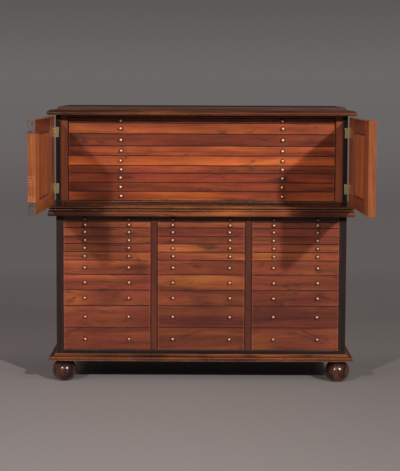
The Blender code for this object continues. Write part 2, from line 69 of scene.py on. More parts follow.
# Case: its outside, read from the frame, and its boards
CASE_LOW, CASE_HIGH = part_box("left_side")
HALF_WIDTH = -CASE_LOW.x
FRONT_Y, BACK_Y = CASE_LOW.y, CASE_HIGH.y
SIDE_THICKNESS = 0.025
LINING_THICKNESS = 0.020
LINING_SETBACK = 0.010
LINING_REBATE = 0.0065
INNER_HALF = HALF_WIDTH - SIDE_THICKNESS
LINED_HALF = INNER_HALF - LINING_THICKNESS
BACK_THICKNESS = 0.012

# How far boards run into each other, how near points are merged, and which way x goes on each hand
BURIED = 0.0004
MERGED = 1e-6
HANDS = {"left": -1, "right": 1}

# Tones of each case side's lower half, upper half and lining, and of the plain boards. The right lining is
# set lighter as painted light against the right door's shadow; the head board and the bottom board are
# darkened as painted shade, under the cornice and in the strip below the drawers.
SIDE_TONES = {"left": ((0.0, 0.0), (0.2, 0.0), (0.5, 0.1)),
              "right": ((-0.5, 0.0), (-0.3, 0.0), (0.75, 0.1))}
HEAD_SHADE_TONE = (-1.6, 0.0)
UPPER_FLOOR_TONE = (-1.0, 0.0)
BOTTOM_SHADE_TONE = (-3.0, 0.4)
UPRIGHT_TONE = (-0.6, 0.6)
RUNNER_TONE = (-0.2, 0.0)

# Wear of the plain boards' arrises, with dirt below zero; the bottom board's is painted shade
UPPER_FLOOR_RUB = 0.6
BOTTOM_SHADE_RUB = -0.8
LINING_RUB = -0.4
UPRIGHT_RUB = -0.5

# Spans of lightness and redness from which a board's tone is drawn
PLANK_TONES = ((-0.25, 0.1), (-0.2, 0.3))
BACK_TONES = ((-0.5, 0.5), (-0.3, 0.3))
TRAY_TONES = ((-0.3, 0.3), (-0.2, 0.2))

# Runners
RUNNER_WIDTH = 0.007
RUNNER_HEIGHT = 0.005
RUNNER_DROP = 0.0003
RUNNER_BACK_GAP = 0.004
RUNNER_ARRIS = 0.0004

# Drawers
FRONT_THICKNESS = 0.015
TRAY_WALL = 0.008
TRAY_FLOOR = 0.003
TRAY_LIFT = 0.0058
TRAY_DROP = 0.0015
TRAY_ARRIS = 0.0006
TRAY_FLOOR_ARRIS = 0.0003
TRAY_FLOOR_LIGHTER = 0.3
FRONT_ARRIS = 0.0009
# Dark arrises of the fronts: dirt in the joints and painted shade of the gaps between fronts
FRONT_DIRT_AND_SHADE = -0.9
FRONT_STEP = 0.025

# Wear of a front from its ends inwards: where each band starts, and the slack in finding it. The dark first
# bands are dirt and painted shade of the gaps at the ends; the pale band is wear.
END_BANDS = ((0.0, -0.9), (0.0015, -0.6), (0.0035, 0.45), (0.009, 0.0))
BAND_SLACK = 1e-5

# Knobs: a flattened ball on a neck of (radius, height) and a rose, how they are set, and the ring darkened
# round them, grime with painted shadow of the knob
KNOB_PROJECTION = 0.014
KNOB_RADIUS = 0.00625
KNOB_MIDDLE = 0.0088
KNOB_UNDERSIDE = 0.0047
KNOB_NECK = [(0.0031, 0.0013), (0.0027, 0.0022), (0.0026, 0.0032), (0.0029, 0.0042)]
ROSE_RADIUS = 0.0044
ROSE_SOFT = 0.0006
ROSE_SUNK = 0.001
KNOB_SIDES = 24
KNOB_SHADING = math.radians(50)
KNOB_SPACING = {"upper": 0.623, "left": 0.170, "middle": 0.220, "right": 0.170}
KNOB_WANDER = 0.0012
KNOB_LEAN = math.radians(2)
KNOB_GRIME_AND_SHADE = (0.0065, 0.0125)

# How light and how red each drawer front is, top to bottom. Each bank's first front is darkened as painted
# shade under the cornice and under the waist, and the lower banks are set darker, partly as painted falloff
# of the light towards the bottom.
TONES = {
    "upper": ((-0.6, 0.3), (0.1, -0.3), (-0.8, 0.6), (0.45, 0.0), (0.5, -0.6),
              (0.0, 0.2), (-0.1, 0.8), (-0.3, 0.2), (0.0, 0.1)),
    "left": ((-2.0, 0.2), (0.0, 0.0), (-0.2, 0.0), (-0.2, 0.2), (-0.2, 0.0), (-0.2, 0.0),
             (0.1, 0.0), (0.0, 0.5), (-0.2, 0.0), (-0.3, 0.4), (-0.5, 0.2)),
    "middle": ((-2.0, 0.2), (0.0, 0.0), (-0.4, 0.8), (-0.1, 0.6), (-0.1, 0.0), (-0.1, 0.0),
               (-0.4, 0.4), (-0.1, 0.0), (-0.5, 0.0), (-0.9, 0.8), (-0.9, 0.2)),
    "right": ((-2.0, 0.2), (0.0, 0.0), (-0.3, 0.2), (-0.3, 0.0), (-0.3, 0.2), (0.0, -0.2),
              (-0.3, 0.2), (-0.5, 0.6), (-0.8, 0.8), (-1.2, 1.0), (-0.8, 0.2)),
}

# Depth of colour of each bank's fronts
DEPTHS = {"upper": 0.95, "left": 0.1, "middle": 0.1, "right": 0.1}

# Darker and lighter stretches of a front: place and reach along it, from 0 at its left end to 1, then tone
MARKS = {
    "upper": {3: ((0.0, 0.08, -1.0, 0.4), (0.75, 0.25, 0.1, 0.6)),
              4: ((0.0, 0.14, -0.8, 0.2), (0.66, 0.14, 0.4, -0.8)),
              5: ((0.6, 0.4, 0.2, -0.2),),
              6: ((0.05, 0.20, -0.6, -0.2), (0.32, 0.12, 0.1, 0.8)),
              7: ((0.05, 0.22, -0.7, 0.2), (0.34, 0.16, 0.2, -0.2)),
              8: ((0.05, 0.20, -0.7, 0.0), (0.94, 0.10, 0.1, -0.8)),
              9: ((0.0, 0.06, 0.4, 0.0), (0.12, 0.10, -0.8, 0.4), (0.5, 0.3, 0.3, -0.4))},
    "left": {2: ((0.32, 0.20, -0.6, 0.0), (0.92, 0.20, 0.3, -0.4)),
             3: ((0.42, 0.28, -0.9, 0.0), (0.0, 0.2, 0.2, 0.2)),
             4: ((0.48, 0.30, -0.5, 0.0),),
             5: ((0.55, 0.28, -0.7, 0.0), (0.0, 0.2, 0.2, 0.2)),
             6: ((0.88, 0.16, 0.2, -0.8), (0.52, 0.2, -0.3, 0.0)),
             7: ((0.10, 0.25, 0.2, -0.6), (0.88, 0.14, -0.5, 0.6)),
             8: ((0.95, 0.2, 0.0, 0.6),),
             9: ((0.12, 0.18, 0.3, -1.0), (0.52, 0.22, -0.4, 0.0)),
             10: ((0.95, 0.35, -0.5, 0.4),),
             11: ((0.40, 0.20, -0.3, 0.8), (0.85, 0.25, -0.1, 0.0))},
    "middle": {2: ((0.0, 0.12, 0.1, -0.4),),
               4: ((0.74, 0.10, -0.6, 0.0),),
               7: ((0.0, 0.25, 0.0, 0.6), (0.45, 0.3, 0.2, -0.4), (1.0, 0.2, 0.0, 0.6)),
               8: ((0.48, 0.35, 0.0, -0.3),),
               9: ((0.04, 0.2, 0.3, -0.2), (0.52, 0.2, -0.4, 0.4), (0.85, 0.15, -0.4, 0.0)),
               10: ((0.5, 0.35, -0.3, 0.4),),
               11: ((0.1, 0.3, 0.1, -0.2),)},
    "right": {4: ((0.1, 0.25, 0.2, -0.4),),
              6: ((0.1, 0.3, 0.3, -0.4),),
              9: ((0.95, 0.2, 0.2, -0.4),),
              10: ((0.85, 0.3, 0.1, -0.2),),
              11: ((0.12, 0.25, 0.2, -0.6), (0.4, 0.15, 0.1, 0.6))},
}

# Mouldings: heights up from the foot of each board, and overhangs past the case
HEAD_BOARD_HEIGHT = 0.009
TOP_BOARD_HEIGHT = 0.012
TOP_BOARD_INSET = 0.007
TOP_PLANKS = 3
PLANK_ARRIS = 0.0012
PLANK_RUB = 0.35
CORNICE_LIP = 0.007
CORNICE_SOFFIT = 0.020
CORNICE_SHOULDER = 0.0135
CORNICE_BED = 0.004
WAIST_HEIGHT = 0.0385
WAIST_BODY = 0.020
WAIST_BEAD = 0.008
WAIST_BEAD_SETBACK = 0.0015
WAIST_FILLET = 0.0065
WAIST_GROOVE = 0.006
WAIST_QUIRK = 0.006
WAIST_FOOT = 0.024
WAIST_STEP = 0.001
WAIST_BED = 0.004
BASE_HEIGHT = 0.025
BASE_FILLET = 0.013
BASE_SHOULDER = 0.006
BASE_BED = 0.003
BOTTOM_SETBACK = 0.003
CURVE_STEPS = 10

# Heights between which a moulding is rubbed, from its foot, crown or shoulder, and the wear there; on the
# waist's bead the pale band also stands as a painted highlight
CORNICE_RUBBED = (0.0005, 0.003)
WAIST_WEAR_AND_SHEEN = (-0.001, 0.002)
BASE_RUBBED = (-0.0005, 0.001)
RUBBED_AND_SHEEN = 0.6

# Height over the fillet from which a moulding is lighter, and by how much; on the waist this is painted light
# on the fillet and the ledge's upward top face
WAIST_PAINTED_LIGHT = (0.001, 0.6)
BASE_CREST = (0.0002, 0.6)

# Tones of the mouldings' ends
END_TONE = (-0.1, 0.0)
WAIST_END_TONE = (-0.3, 0.2)

# Arrises, the worn bands beside them, and the most that they take of a profile's short leg or a thin board
ARRIS = 0.0009
WORN_BAND = 0.0022
LEG_ARRIS = 0.3
LEG_BAND = 0.48
BOARD_BAND = 0.3

# Least bend of a profile that has an arris, and angles up to which edges are shaded round
LEAST_BEND = 0.35
MOULDING_SHADING = math.radians(35)
ROUND_SHADING = math.radians(40)

# How squarely a face has to lie to count as a board's broad face, end, leading edge or front
BROAD_FACE = 0.999
END_FACE = 0.9
EDGE_FACE = 0.7
FRONT_FACE = 0.5

# Places along the front of each moulding, left to right, with their lightness and redness; the waist's darker
# stretches at both ends are partly painted shadow of the open doors
CORNICE_STATIONS = ((-0.6, 0.0, 0.4), (-0.3, 0.3, -0.1), (0.1, 0.3, 0.0), (0.6, 0.1, 0.1))
WAIST_STATIONS = ((-0.6, -0.9, 0.8), (-0.47, -0.8, 0.8), (-0.40, 0.1, 0.3),
                  (-0.32, 1.1, 0.0), (0.10, 1.4, -0.2), (0.34, 1.2, 0.0),
                  (0.40, -0.7, 0.4), (0.52, -0.7, 0.5), (0.6, 0.2, 0.9))
BASE_STATIONS = ((-0.6, 0.9, 0.1), (-0.52, 0.8, -0.2), (-0.41, 0.6, -0.2),
                 (-0.36, 0.1, 0.1), (-0.28, 0.4, -0.1), (-0.22, -0.5, 0.5),
                 (-0.16, -0.4, 0.5), (-0.12, 0.5, -0.2), (-0.03, 0.4, 0.0),
                 (0.01, -0.3, 0.4), (0.05, 0.3, 0.0), (0.15, 0.3, 0.0),
                 (0.19, -0.7, 0.2), (0.23, 0.4, -0.1), (0.36, 0.4, -0.1),
                 (0.46, 0.0, 0.1), (0.6, 0.4, 0.1))

# Back boards
BACK_BOARDS = 8
BACK_ARRIS = 0.002
BACK_RUB = -0.5

# Bun feet: pad on the floor, neck under the base, the bead between, and painted shade near the top, under the
# base
FOOT_PAD = 0.022
FOOT_PAD_FLAT = 0.021
FOOT_NECK = 0.033
FOOT_NECK_HEIGHT = 0.010
FOOT_NECK_LENGTH = 0.006
FOOT_BEAD = 0.0025
FOOT_BEAD_OUT = 0.0005
FOOT_BEAD_DROP = 0.007
FOOT_SHADE_START = 0.6
FOOT_SHADE = 2.4
FOOT_SIDES = 56
FOOT_LIGHTNESS = (-0.7, -0.1)
FOOT_REDNESS = 0.2

# Doors, worked out shut: out from the hinge line, and up from the bottom edge
DOOR_THICKNESS = 0.027
DOOR_GAP = 0.003
HINGE_STILE = 0.130
LEADING_STILE = 0.100
TOP_RAIL = 0.050
BOTTOM_RAIL = 0.046
PANEL_THICKNESS = 0.019
PANEL_MOULDING = 0.005
PANEL_LIP = 0.001
PANEL_BORDER = 0.006
PANEL_BORDER_RUB = -0.3
PANEL_MOULDING_RUB = -0.4
PANEL_MOULDING_TONE = (-0.8, 0.1)
HINGE_STILE_TONE = (0.1, 0.1)
TOP_RAIL_TONE = (-0.7, 0.4)
SCUFFS = (0.004, 0.009, 0.014, 0.020, 0.062, 0.071, 0.079, 0.090)
SCUFF_REACH = 0.0013
SCUFF_WEAR = (0.7, 1.0)
TOP_END_TONE = (-0.5, 0.0)
FOOT_END_TONE = (-0.9, 0.0)
DOOR_RUB = 0.25
TOP_RUB = 0.9

# Tone of each door's leading edge, leading stile, bottom rail and panel, with a depth where it has one; these
# and the hinge stile's tone are set lighter, partly as painted light on the doors' inner faces
DOOR_TONES = {"left": ((-0.15, -0.2), (0.7, -0.4), (0.2, 0.0), (0.5, 0.2)),
              "right": ((-0.35, -0.2, 0.35), (0.3, 0.2), (-0.3, 0.2), (0.7, 0.1))}

# Butt hinges: leaves, knuckles, screws, and the webs between leaf and knuckle
HINGE_HEIGHT = 0.039
HINGE_INSET = 0.060
LEAF_WIDTH = 0.0115
LEAF_THICKNESS = 0.0015
LEAF_PROUD = 0.0003
KNUCKLE_RADIUS = 0.003
KNUCKLE_GAP = 0.0004
KNUCKLES = 3
KNUCKLE_SOFT = 0.0004
KNUCKLE_SIDES = 24
SCREW_RADIUS = 0.0019
SCREW_SLOT = 0.00035
SCREW_DEPTH = 0.0005
SCREW_RIM = 0.0003
SCREW_BED = -0.0001
SCREW_PITCH = 0.0125
SCREW_PLACE = 0.55
SCREW_WANDER = (0.0, 0.0, 0.0002)
LEAF_ARRIS = 0.0003
WEB_ARRIS = 0.0002
WEB_START = 0.001

# Floor: its size, its colours near and far, what its right side is multiplied by as painted shade where the
# light falls off, and where each change runs
FLOOR_RADIUS = 9.0
FLOOR_NEAR = (0.350, 0.312, 0.308)
FLOOR_FAR = (0.430, 0.385, 0.380)
FLOOR_RIGHT_SHADE = (0.80, 0.81, 0.80)
FLOOR_DEPTHWAYS = (0.25, 0.85)
FLOOR_CROSSWAYS = (-0.3, 1.1)
FLOOR_FADE = (1.8, 4.5)
FLOOR_ROUGHNESS = 0.7

# Grey of the studio behind the cabinet, from below the horizon up
BACKDROP_SPAN = (-0.14, 0.08)
BACKDROP = ((0.0, (0.122, 0.109, 0.106)), (0.3, (0.115, 0.102, 0.100)), (0.45, (0.138, 0.125, 0.123)),
            (0.68, (0.148, 0.136, 0.135)), (1.0, (0.083, 0.075, 0.073)))

# Round soft lights: place, size, power, colour, and whether the polish mirrors them
LIGHTS = {"key": ((3.97, -7.56, 3.85), 0.32, 535, (1.0, 0.97, 0.93), True),
          "left": ((-3.40, -7.56, 3.75), 0.33, 305, (1.0, 0.97, 0.93), True),
          "right_side": ((5.0, -4.2, 4.0), 1.5, 62, (1.0, 0.97, 0.95), False),
          "left_side": ((-5.0, -4.2, 4.0), 1.5, 62, (1.0, 0.97, 0.95), False)}
LIGHT_AIM = Vector((0.0, 0.0, 0.6))

# Timber: where a figure's colours lie, by their number, and how far pores and rubbed arrises show; the rubbed
# pale also carries the waist bead's painted highlight
FIGURE_PLACES = {3: (0.2, 0.5, 0.8), 4: (0.2, 0.42, 0.60, 0.85)}
PORES = 0.3
RUBS_AND_SHEEN = 0.75

# What a timber's colour is multiplied by where it is least red, most red and deepest
YELLOW_CAST = (1.05, 1.16, 0.80)
RED_CAST = (0.98, 0.78, 1.15)
DEEP_CAST = (1.04, 0.84, 0.60)

RANDOM = random.Random(11)


def set_stops(ramp, stops):
    """Give a colour ramp its (place, colour) stops."""
    while len(ramp.elements) < len(stops):
        ramp.elements.new(1.0)
    for element, (place, colour) in zip(ramp.elements, stops):
        element.position = place
        element.color = (*colour, 1.0)


class Signal:
    """A socket in a node tree; arithmetic on a value adds Math nodes."""

    def __init__(self, nodes, socket):
        self.nodes = nodes
        self.socket = socket

    def math(self, operation, *values):
        return self.nodes.add("ShaderNodeMath", {"operation": operation}, dict(enumerate(values)))

    def __add__(self, other):
        return self.math("ADD", self, other)

    def __sub__(self, other):
        return self.math("SUBTRACT", self, other)

    def __rsub__(self, other):
        return self.math("SUBTRACT", other, self)

    def __mul__(self, other):
        return self.math("MULTIPLY", self, other)

    def __pow__(self, other):
        return self.math("POWER", self, other)

    def __rpow__(self, other):
        return self.math("POWER", other, self)

    def __abs__(self):
        return self.math("ABSOLUTE", self)

    __radd__ = __add__
    __rmul__ = __mul__


class Nodes:
    """A node tree in the making."""

    def __init__(self, tree):
        self.tree = tree

    def feed(self, socket, value):
        """Link a signal to a socket, or set a plain value on it."""
        if isinstance(value, Signal):
            self.tree.links.new(value.socket, socket)
        else:
            socket.default_value = value

    def add(self, kind, settings=None, sockets=None, out=0):
        """Add a node: its settings first, then the values or links of its sockets; return an output."""
        node = self.tree.nodes.new(kind)
        for name, value in (settings or {}).items():
            if name == "stops":
                set_stops(node.color_ramp, value)
            else:
                setattr(node, name, value)
        for key, value in (sockets or {}).items():
            self.feed(node.inputs[key], value)
        return Signal(self, node.outputs[out])


class Finish(Nodes):
    """The nodes of a material or a world in the making, with a shader at their end."""

    def __init__(self, owner, shader="Principled BSDF"):
        owner.use_nodes = True
        super().__init__(owner.node_tree)
        self.owner = owner
        self.shader = self.tree.nodes[shader]

    def attribute(self, name, out="Vector"):
        return self.add("ShaderNodeAttribute", {"attribute_name": name}, out=out)

    def split(self, vector):
        node = self.add("ShaderNodeSeparateXYZ", sockets={0: vector}).socket.node
        return [Signal(self, socket) for socket in node.outputs]

    def join(self, x, y, z):
        return self.add("ShaderNodeCombineXYZ", sockets={0: x, 1: y, 2: z})

    def vector(self, operation, *values):
        return self.add("ShaderNodeVectorMath", {"operation": operation}, dict(enumerate(values)))

    def noise(self, place, scale, detail=2.0, roughness=0.5, distortion=0.0, shift=(0, 0, 0)):
        """Noise that repeats about so many times in a metre along each axis."""
        place = self.vector("MULTIPLY_ADD", place, scale, shift)
        sockets = {"Vector": place, "Scale": 1.0, "Detail": detail, "Roughness": roughness,
                   "Distortion": distortion}
        return self.add("ShaderNodeTexNoise", sockets=sockets)

    def ease(self, value, start, end):
        """0 up to start, 1 from end on, and a smooth rise between them."""
        settings = {"interpolation_type": "SMOOTHSTEP"}
        return self.add("ShaderNodeMapRange", settings, {0: value, 1: start, 2: end})

    def ramp(self, value, stops):
        return self.add("ShaderNodeValToRGB", {"stops": stops}, {0: value})

    def mix(self, factor, first, second, blend="MIX"):
        settings = {"data_type": "RGBA", "blend_type": blend, "clamp_factor": True}
        colours = [value if isinstance(value, Signal) else (*value, 1.0) for value in (first, second)]
        return self.add("ShaderNodeMix", settings, {0: factor, 6: colours[0], 7: colours[1]}, out=2)

    def lighten(self, colour, doublings):
        """Double a colour's light so many times, or halve it below zero."""
        sockets = {0: colour, "Scale": 2.0 ** doublings}
        return self.add("ShaderNodeVectorMath", {"operation": "SCALE"}, sockets)

    def bump(self, height, strength, distance):
        sockets = {"Strength": strength, "Distance": distance, "Height": height}
        return self.add("ShaderNodeBump", sockets=sockets)

    def shade(self, sockets):
        """Set the shader's sockets and return the finished material or world."""
        for name, value in sockets.items():
            self.feed(self.shader.inputs[name], value)
        return self.owner


def wood(name, colours, shadow, worn_and_sheen, dirt, figure=0.8, streaks=0.3, drift=0.9, blush=0.8, patches=0.6,
         uneven=0.0, deep=0.0, roughness=0.36, coat=0.12, polish=0.18, specular=0.3, knobs=False):
    """Polished timber whose figure follows the grain of each board."""
    make = Finish(bpy.data.materials.new(name))
    grain = make.attribute("grain")
    lightness, redness, depth = make.split(make.attribute("tone"))
    wear = make.attribute("wear", "Fac")
    bend = make.noise(grain, (1.7, 9, 9), 1.0) - 0.5
    bent = make.vector("ADD", grain, make.join(0.0, bend * 0.05, bend * 0.05))
    broad = make.noise(bent, (1.5, 26, 26), 3.0, 0.55, 0.35)
    fine = make.noise(bent, (5, 330, 330), 3.0, 0.65)
    slow = make.noise(bent, (6, 13, 13))
    hue = make.noise(bent, (5, 17, 17), 1.0, shift=(7.3, 1.9, 4.1))
    patch = make.noise(bent, (8, 24, 24), 3.0, 0.6, 1.0)
    speck = make.noise(grain, (55, 1500, 1500), 1.0)
    stops = list(zip(FIGURE_PLACES[len(colours)], colours))
    colour = make.ramp((broad - 0.5) * figure + (fine - 0.5) * streaks + 0.5, stops)
    colour = make.mix(make.ease(patch, 0.55, 0.72) * patches, colour, shadow)
    colour = make.lighten(colour, lightness + (slow - 0.5) * drift)
    cast = make.mix(redness * 0.5 + (hue - 0.5) * blush + 0.5, YELLOW_CAST, RED_CAST)
    colour = make.mix(1.0, colour, cast, "MULTIPLY")
    colour = make.mix(depth + deep, colour, DEEP_CAST, "MULTIPLY")
    pore = make.ease(speck, 0.56, 0.70) * PORES
    colour = make.mix(pore, colour, dirt)
    rub = make.noise(grain, (38, 160, 160), 2.0, 0.7)
    # Pale where the wear is above zero: worn arrises, and on the waist's bead a painted highlight
    wear_and_sheen = make.ease(wear, 0.1, 0.9) * (make.ease(rub, 0.40, 0.66) * 0.6 + 0.4)
    # Dark where it is below zero: dirt, and painted shade in moulding hollows, in the gaps round drawer
    # fronts, on the bottom board and on the tops of the feet
    grime_and_shade = make.ease(0 - wear, 0.05, 0.9) * (make.ease(slow, 0.62, 0.36) * uneven + 0.9 - uneven)
    # Darker in a ring round the knobs: grime, and painted shadow of the knobs, deepest on the upper fronts
    if knobs:
        across, up, reach = make.split(make.attribute("knob"))
        sideways = abs(across) - reach
        distance = (sideways * sideways + up * up) ** 0.5
        ring = 1 - make.ease(distance + (rub - 0.5) * 0.004, *KNOB_GRIME_AND_SHADE)
        grime_and_shade = grime_and_shade + ring * (depth * 0.25 + 0.5)
    colour = make.mix(wear_and_sheen * RUBS_AND_SHEEN, colour, worn_and_sheen)
    colour = make.mix(grime_and_shade, colour, dirt)
    gloss = (fine - 0.5) * 0.12 + pore * 0.15 + wear_and_sheen * 0.15 + grime_and_shade * 0.2 + roughness
    relief = fine * 0.5 - pore * 0.6 + broad * 0.6
    return make.shade({"Base Color": colour, "Roughness": gloss, "Specular IOR Level": specular,
                       "Coat Weight": coat, "Coat Roughness": polish,
                       "Normal": make.bump(relief, 0.25, 0.0004)})


def end_grain_finish():
    """Weathered end grain of the door rails, with fine rings and dark checks."""
    make = Finish(bpy.data.materials.new("end_grain"))
    grain = make.attribute("grain")
    rings = make.noise(grain, (40, 420, 900), 3.0, 0.6, 0.4)
    stains = make.noise(grain, (60, 70, 90))
    lightness, _, _ = make.split(make.attribute("tone"))
    colour = make.ramp(rings, ((0.3, (0.04, 0.026, 0.022)), (0.55, (0.15, 0.115, 0.098)),
                               (0.8, (0.30, 0.25, 0.225))))
    colour = make.lighten(colour, lightness)
    colour = make.mix(make.ease(stains, 0.50, 0.62) * 0.75, colour, (0.03, 0.018, 0.013))
    return make.shade({"Base Color": colour, "Roughness": rings * 0.2 + 0.5,
                       "Normal": make.bump(rings, 0.4, 0.0005)})


def brass_finish(name, bright, tarnish, cover, roughness):
    """Aged brass, brighter where hands and light reach it."""
    make = Finish(bpy.data.materials.new(name))
    place = make.add("ShaderNodeTexCoord", out="Object")
    cloud = make.noise(place, (260, 260, 260), 3.0, 0.6)
    spots = make.noise(place, (900, 900, 900))
    dull = make.ease(cloud, 0.40, 0.66) * cover
    colour = make.mix(dull, bright, tarnish)
    rough = dull * 0.22 + (spots - 0.5) * 0.12 + roughness
    return make.shade({"Base Color": colour, "Metallic": 1.0, "Roughness": rough,
                       "Normal": make.bump(spots, 0.15, 0.0002)})


# Colours of each timber's figure, dark to light
MAHOGANY = ((0.10, 0.022, 0.010), (0.21, 0.048, 0.017), (0.29, 0.070, 0.024), (0.42, 0.120, 0.036))
WARM_MAHOGANY = ((0.13, 0.033, 0.011), (0.26, 0.068, 0.021), (0.36, 0.102, 0.031), (0.50, 0.165, 0.052))
LINING = ((0.05, 0.014, 0.007), (0.11, 0.028, 0.012), (0.15, 0.040, 0.016), (0.21, 0.062, 0.024))
DARK_MAHOGANY = ((0.017, 0.006, 0.003), (0.053, 0.015, 0.006), (0.107, 0.032, 0.010),
                 (0.223, 0.072, 0.019))
TOP = ((0.022, 0.011, 0.008), (0.055, 0.024, 0.015), (0.11, 0.048, 0.027))
BLACKENED = ((0.007, 0.003, 0.003), (0.017, 0.007, 0.006), (0.032, 0.014, 0.011))
BUN = ((0.009, 0.004, 0.003), (0.036, 0.012, 0.007), (0.19, 0.065, 0.032))
PLAIN = ((0.16, 0.085, 0.040), (0.30, 0.18, 0.090), (0.44, 0.29, 0.155))
BOARDS = ((0.060, 0.036, 0.020), (0.13, 0.080, 0.045), (0.22, 0.145, 0.085))

# Colours of a timber's darker patches
PURPLE = (0.075, 0.021, 0.016)
UMBER = (0.014, 0.007, 0.005)

DRAWER_FINISH = wood("drawer_mahogany", MAHOGANY, PURPLE, (0.48, 0.21, 0.13), (0.036, 0.007, 0.005),
                     figure=1.2, streaks=0.6, drift=1.4, blush=1.8, patches=0.75, uneven=0.4, knobs=True)
DOOR_FINISH = wood("door_mahogany", WARM_MAHOGANY, (0.15, 0.040, 0.020), (0.62, 0.36, 0.22),
                   (0.040, 0.013, 0.008), streaks=0.8, blush=1.2, patches=0.35, drift=0.5)
LINING_FINISH = wood("lining_mahogany", LINING, PURPLE, (0.24, 0.12, 0.075), (0.016, 0.006, 0.005),
                     patches=0.4, deep=0.4)
MOULDING_FINISH = wood("moulding_mahogany", DARK_MAHOGANY, UMBER, (0.40, 0.20, 0.10), (0.008, 0.004, 0.003),
                       figure=1.1, streaks=0.8, patches=0.7, deep=0.6, roughness=0.34, coat=0.1)
TOP_FINISH = wood("top_mahogany", TOP, UMBER, (0.16, 0.075, 0.045), (0.008, 0.004, 0.003),
                  figure=1.2, streaks=0.8, roughness=0.50, coat=0.0, specular=0.2)
CASE_FINISH = wood("dark_case", BLACKENED, (0.006, 0.004, 0.004), (0.055, 0.034, 0.026),
                   (0.006, 0.004, 0.004), patches=0.3, roughness=0.45, coat=0.0, specular=0.2)
FOOT_FINISH = wood("polished_bun", BUN, (0.010, 0.004, 0.004), (0.10, 0.05, 0.035), (0.008, 0.004, 0.004),
                   figure=2.2, streaks=1.3, drift=1.6, patches=0.7, roughness=0.34, coat=0.6, polish=0.17,
                   specular=0.2)
TRAY_FINISH = wood("tray_timber", PLAIN, (0.16, 0.09, 0.045), (0.42, 0.30, 0.18), (0.08, 0.045, 0.025),
                   patches=0.1, roughness=0.62, coat=0.0)
BACK_FINISH = wood("back_boards", BOARDS, (0.05, 0.03, 0.018), (0.24, 0.17, 0.11), (0.03, 0.018, 0.012),
                   patches=0.3, roughness=0.70, coat=0.0)
END_GRAIN = end_grain_finish()
KNOB_BRASS = brass_finish("knob_brass", (1.0, 0.62, 0.38), (0.72, 0.41, 0.22), 0.35, 0.49)
WORN_BRASS = brass_finish("worn_brass", (0.76, 0.46, 0.31), (0.46, 0.26, 0.17), 0.45, 0.46)
# Darkened brass: painted shade on the knobs under the waist
SHADE_PAINTED_BRASS = brass_finish("shade_painted_brass", (0.30, 0.20, 0.15), (0.15, 0.10, 0.07), 0.5, 0.40)
HINGE_BRASS = brass_finish("hinge_brass", (0.52, 0.42, 0.23), (0.27, 0.19, 0.095), 0.6, 0.42)


def drawn(spans):
    """A tone by chance, one value from each span."""
    return tuple(RANDOM.uniform(*span) for span in spans)


def corners(faces):
    """The corners of faces, one by one."""
    return (loop for face in faces for loop in face.loops)


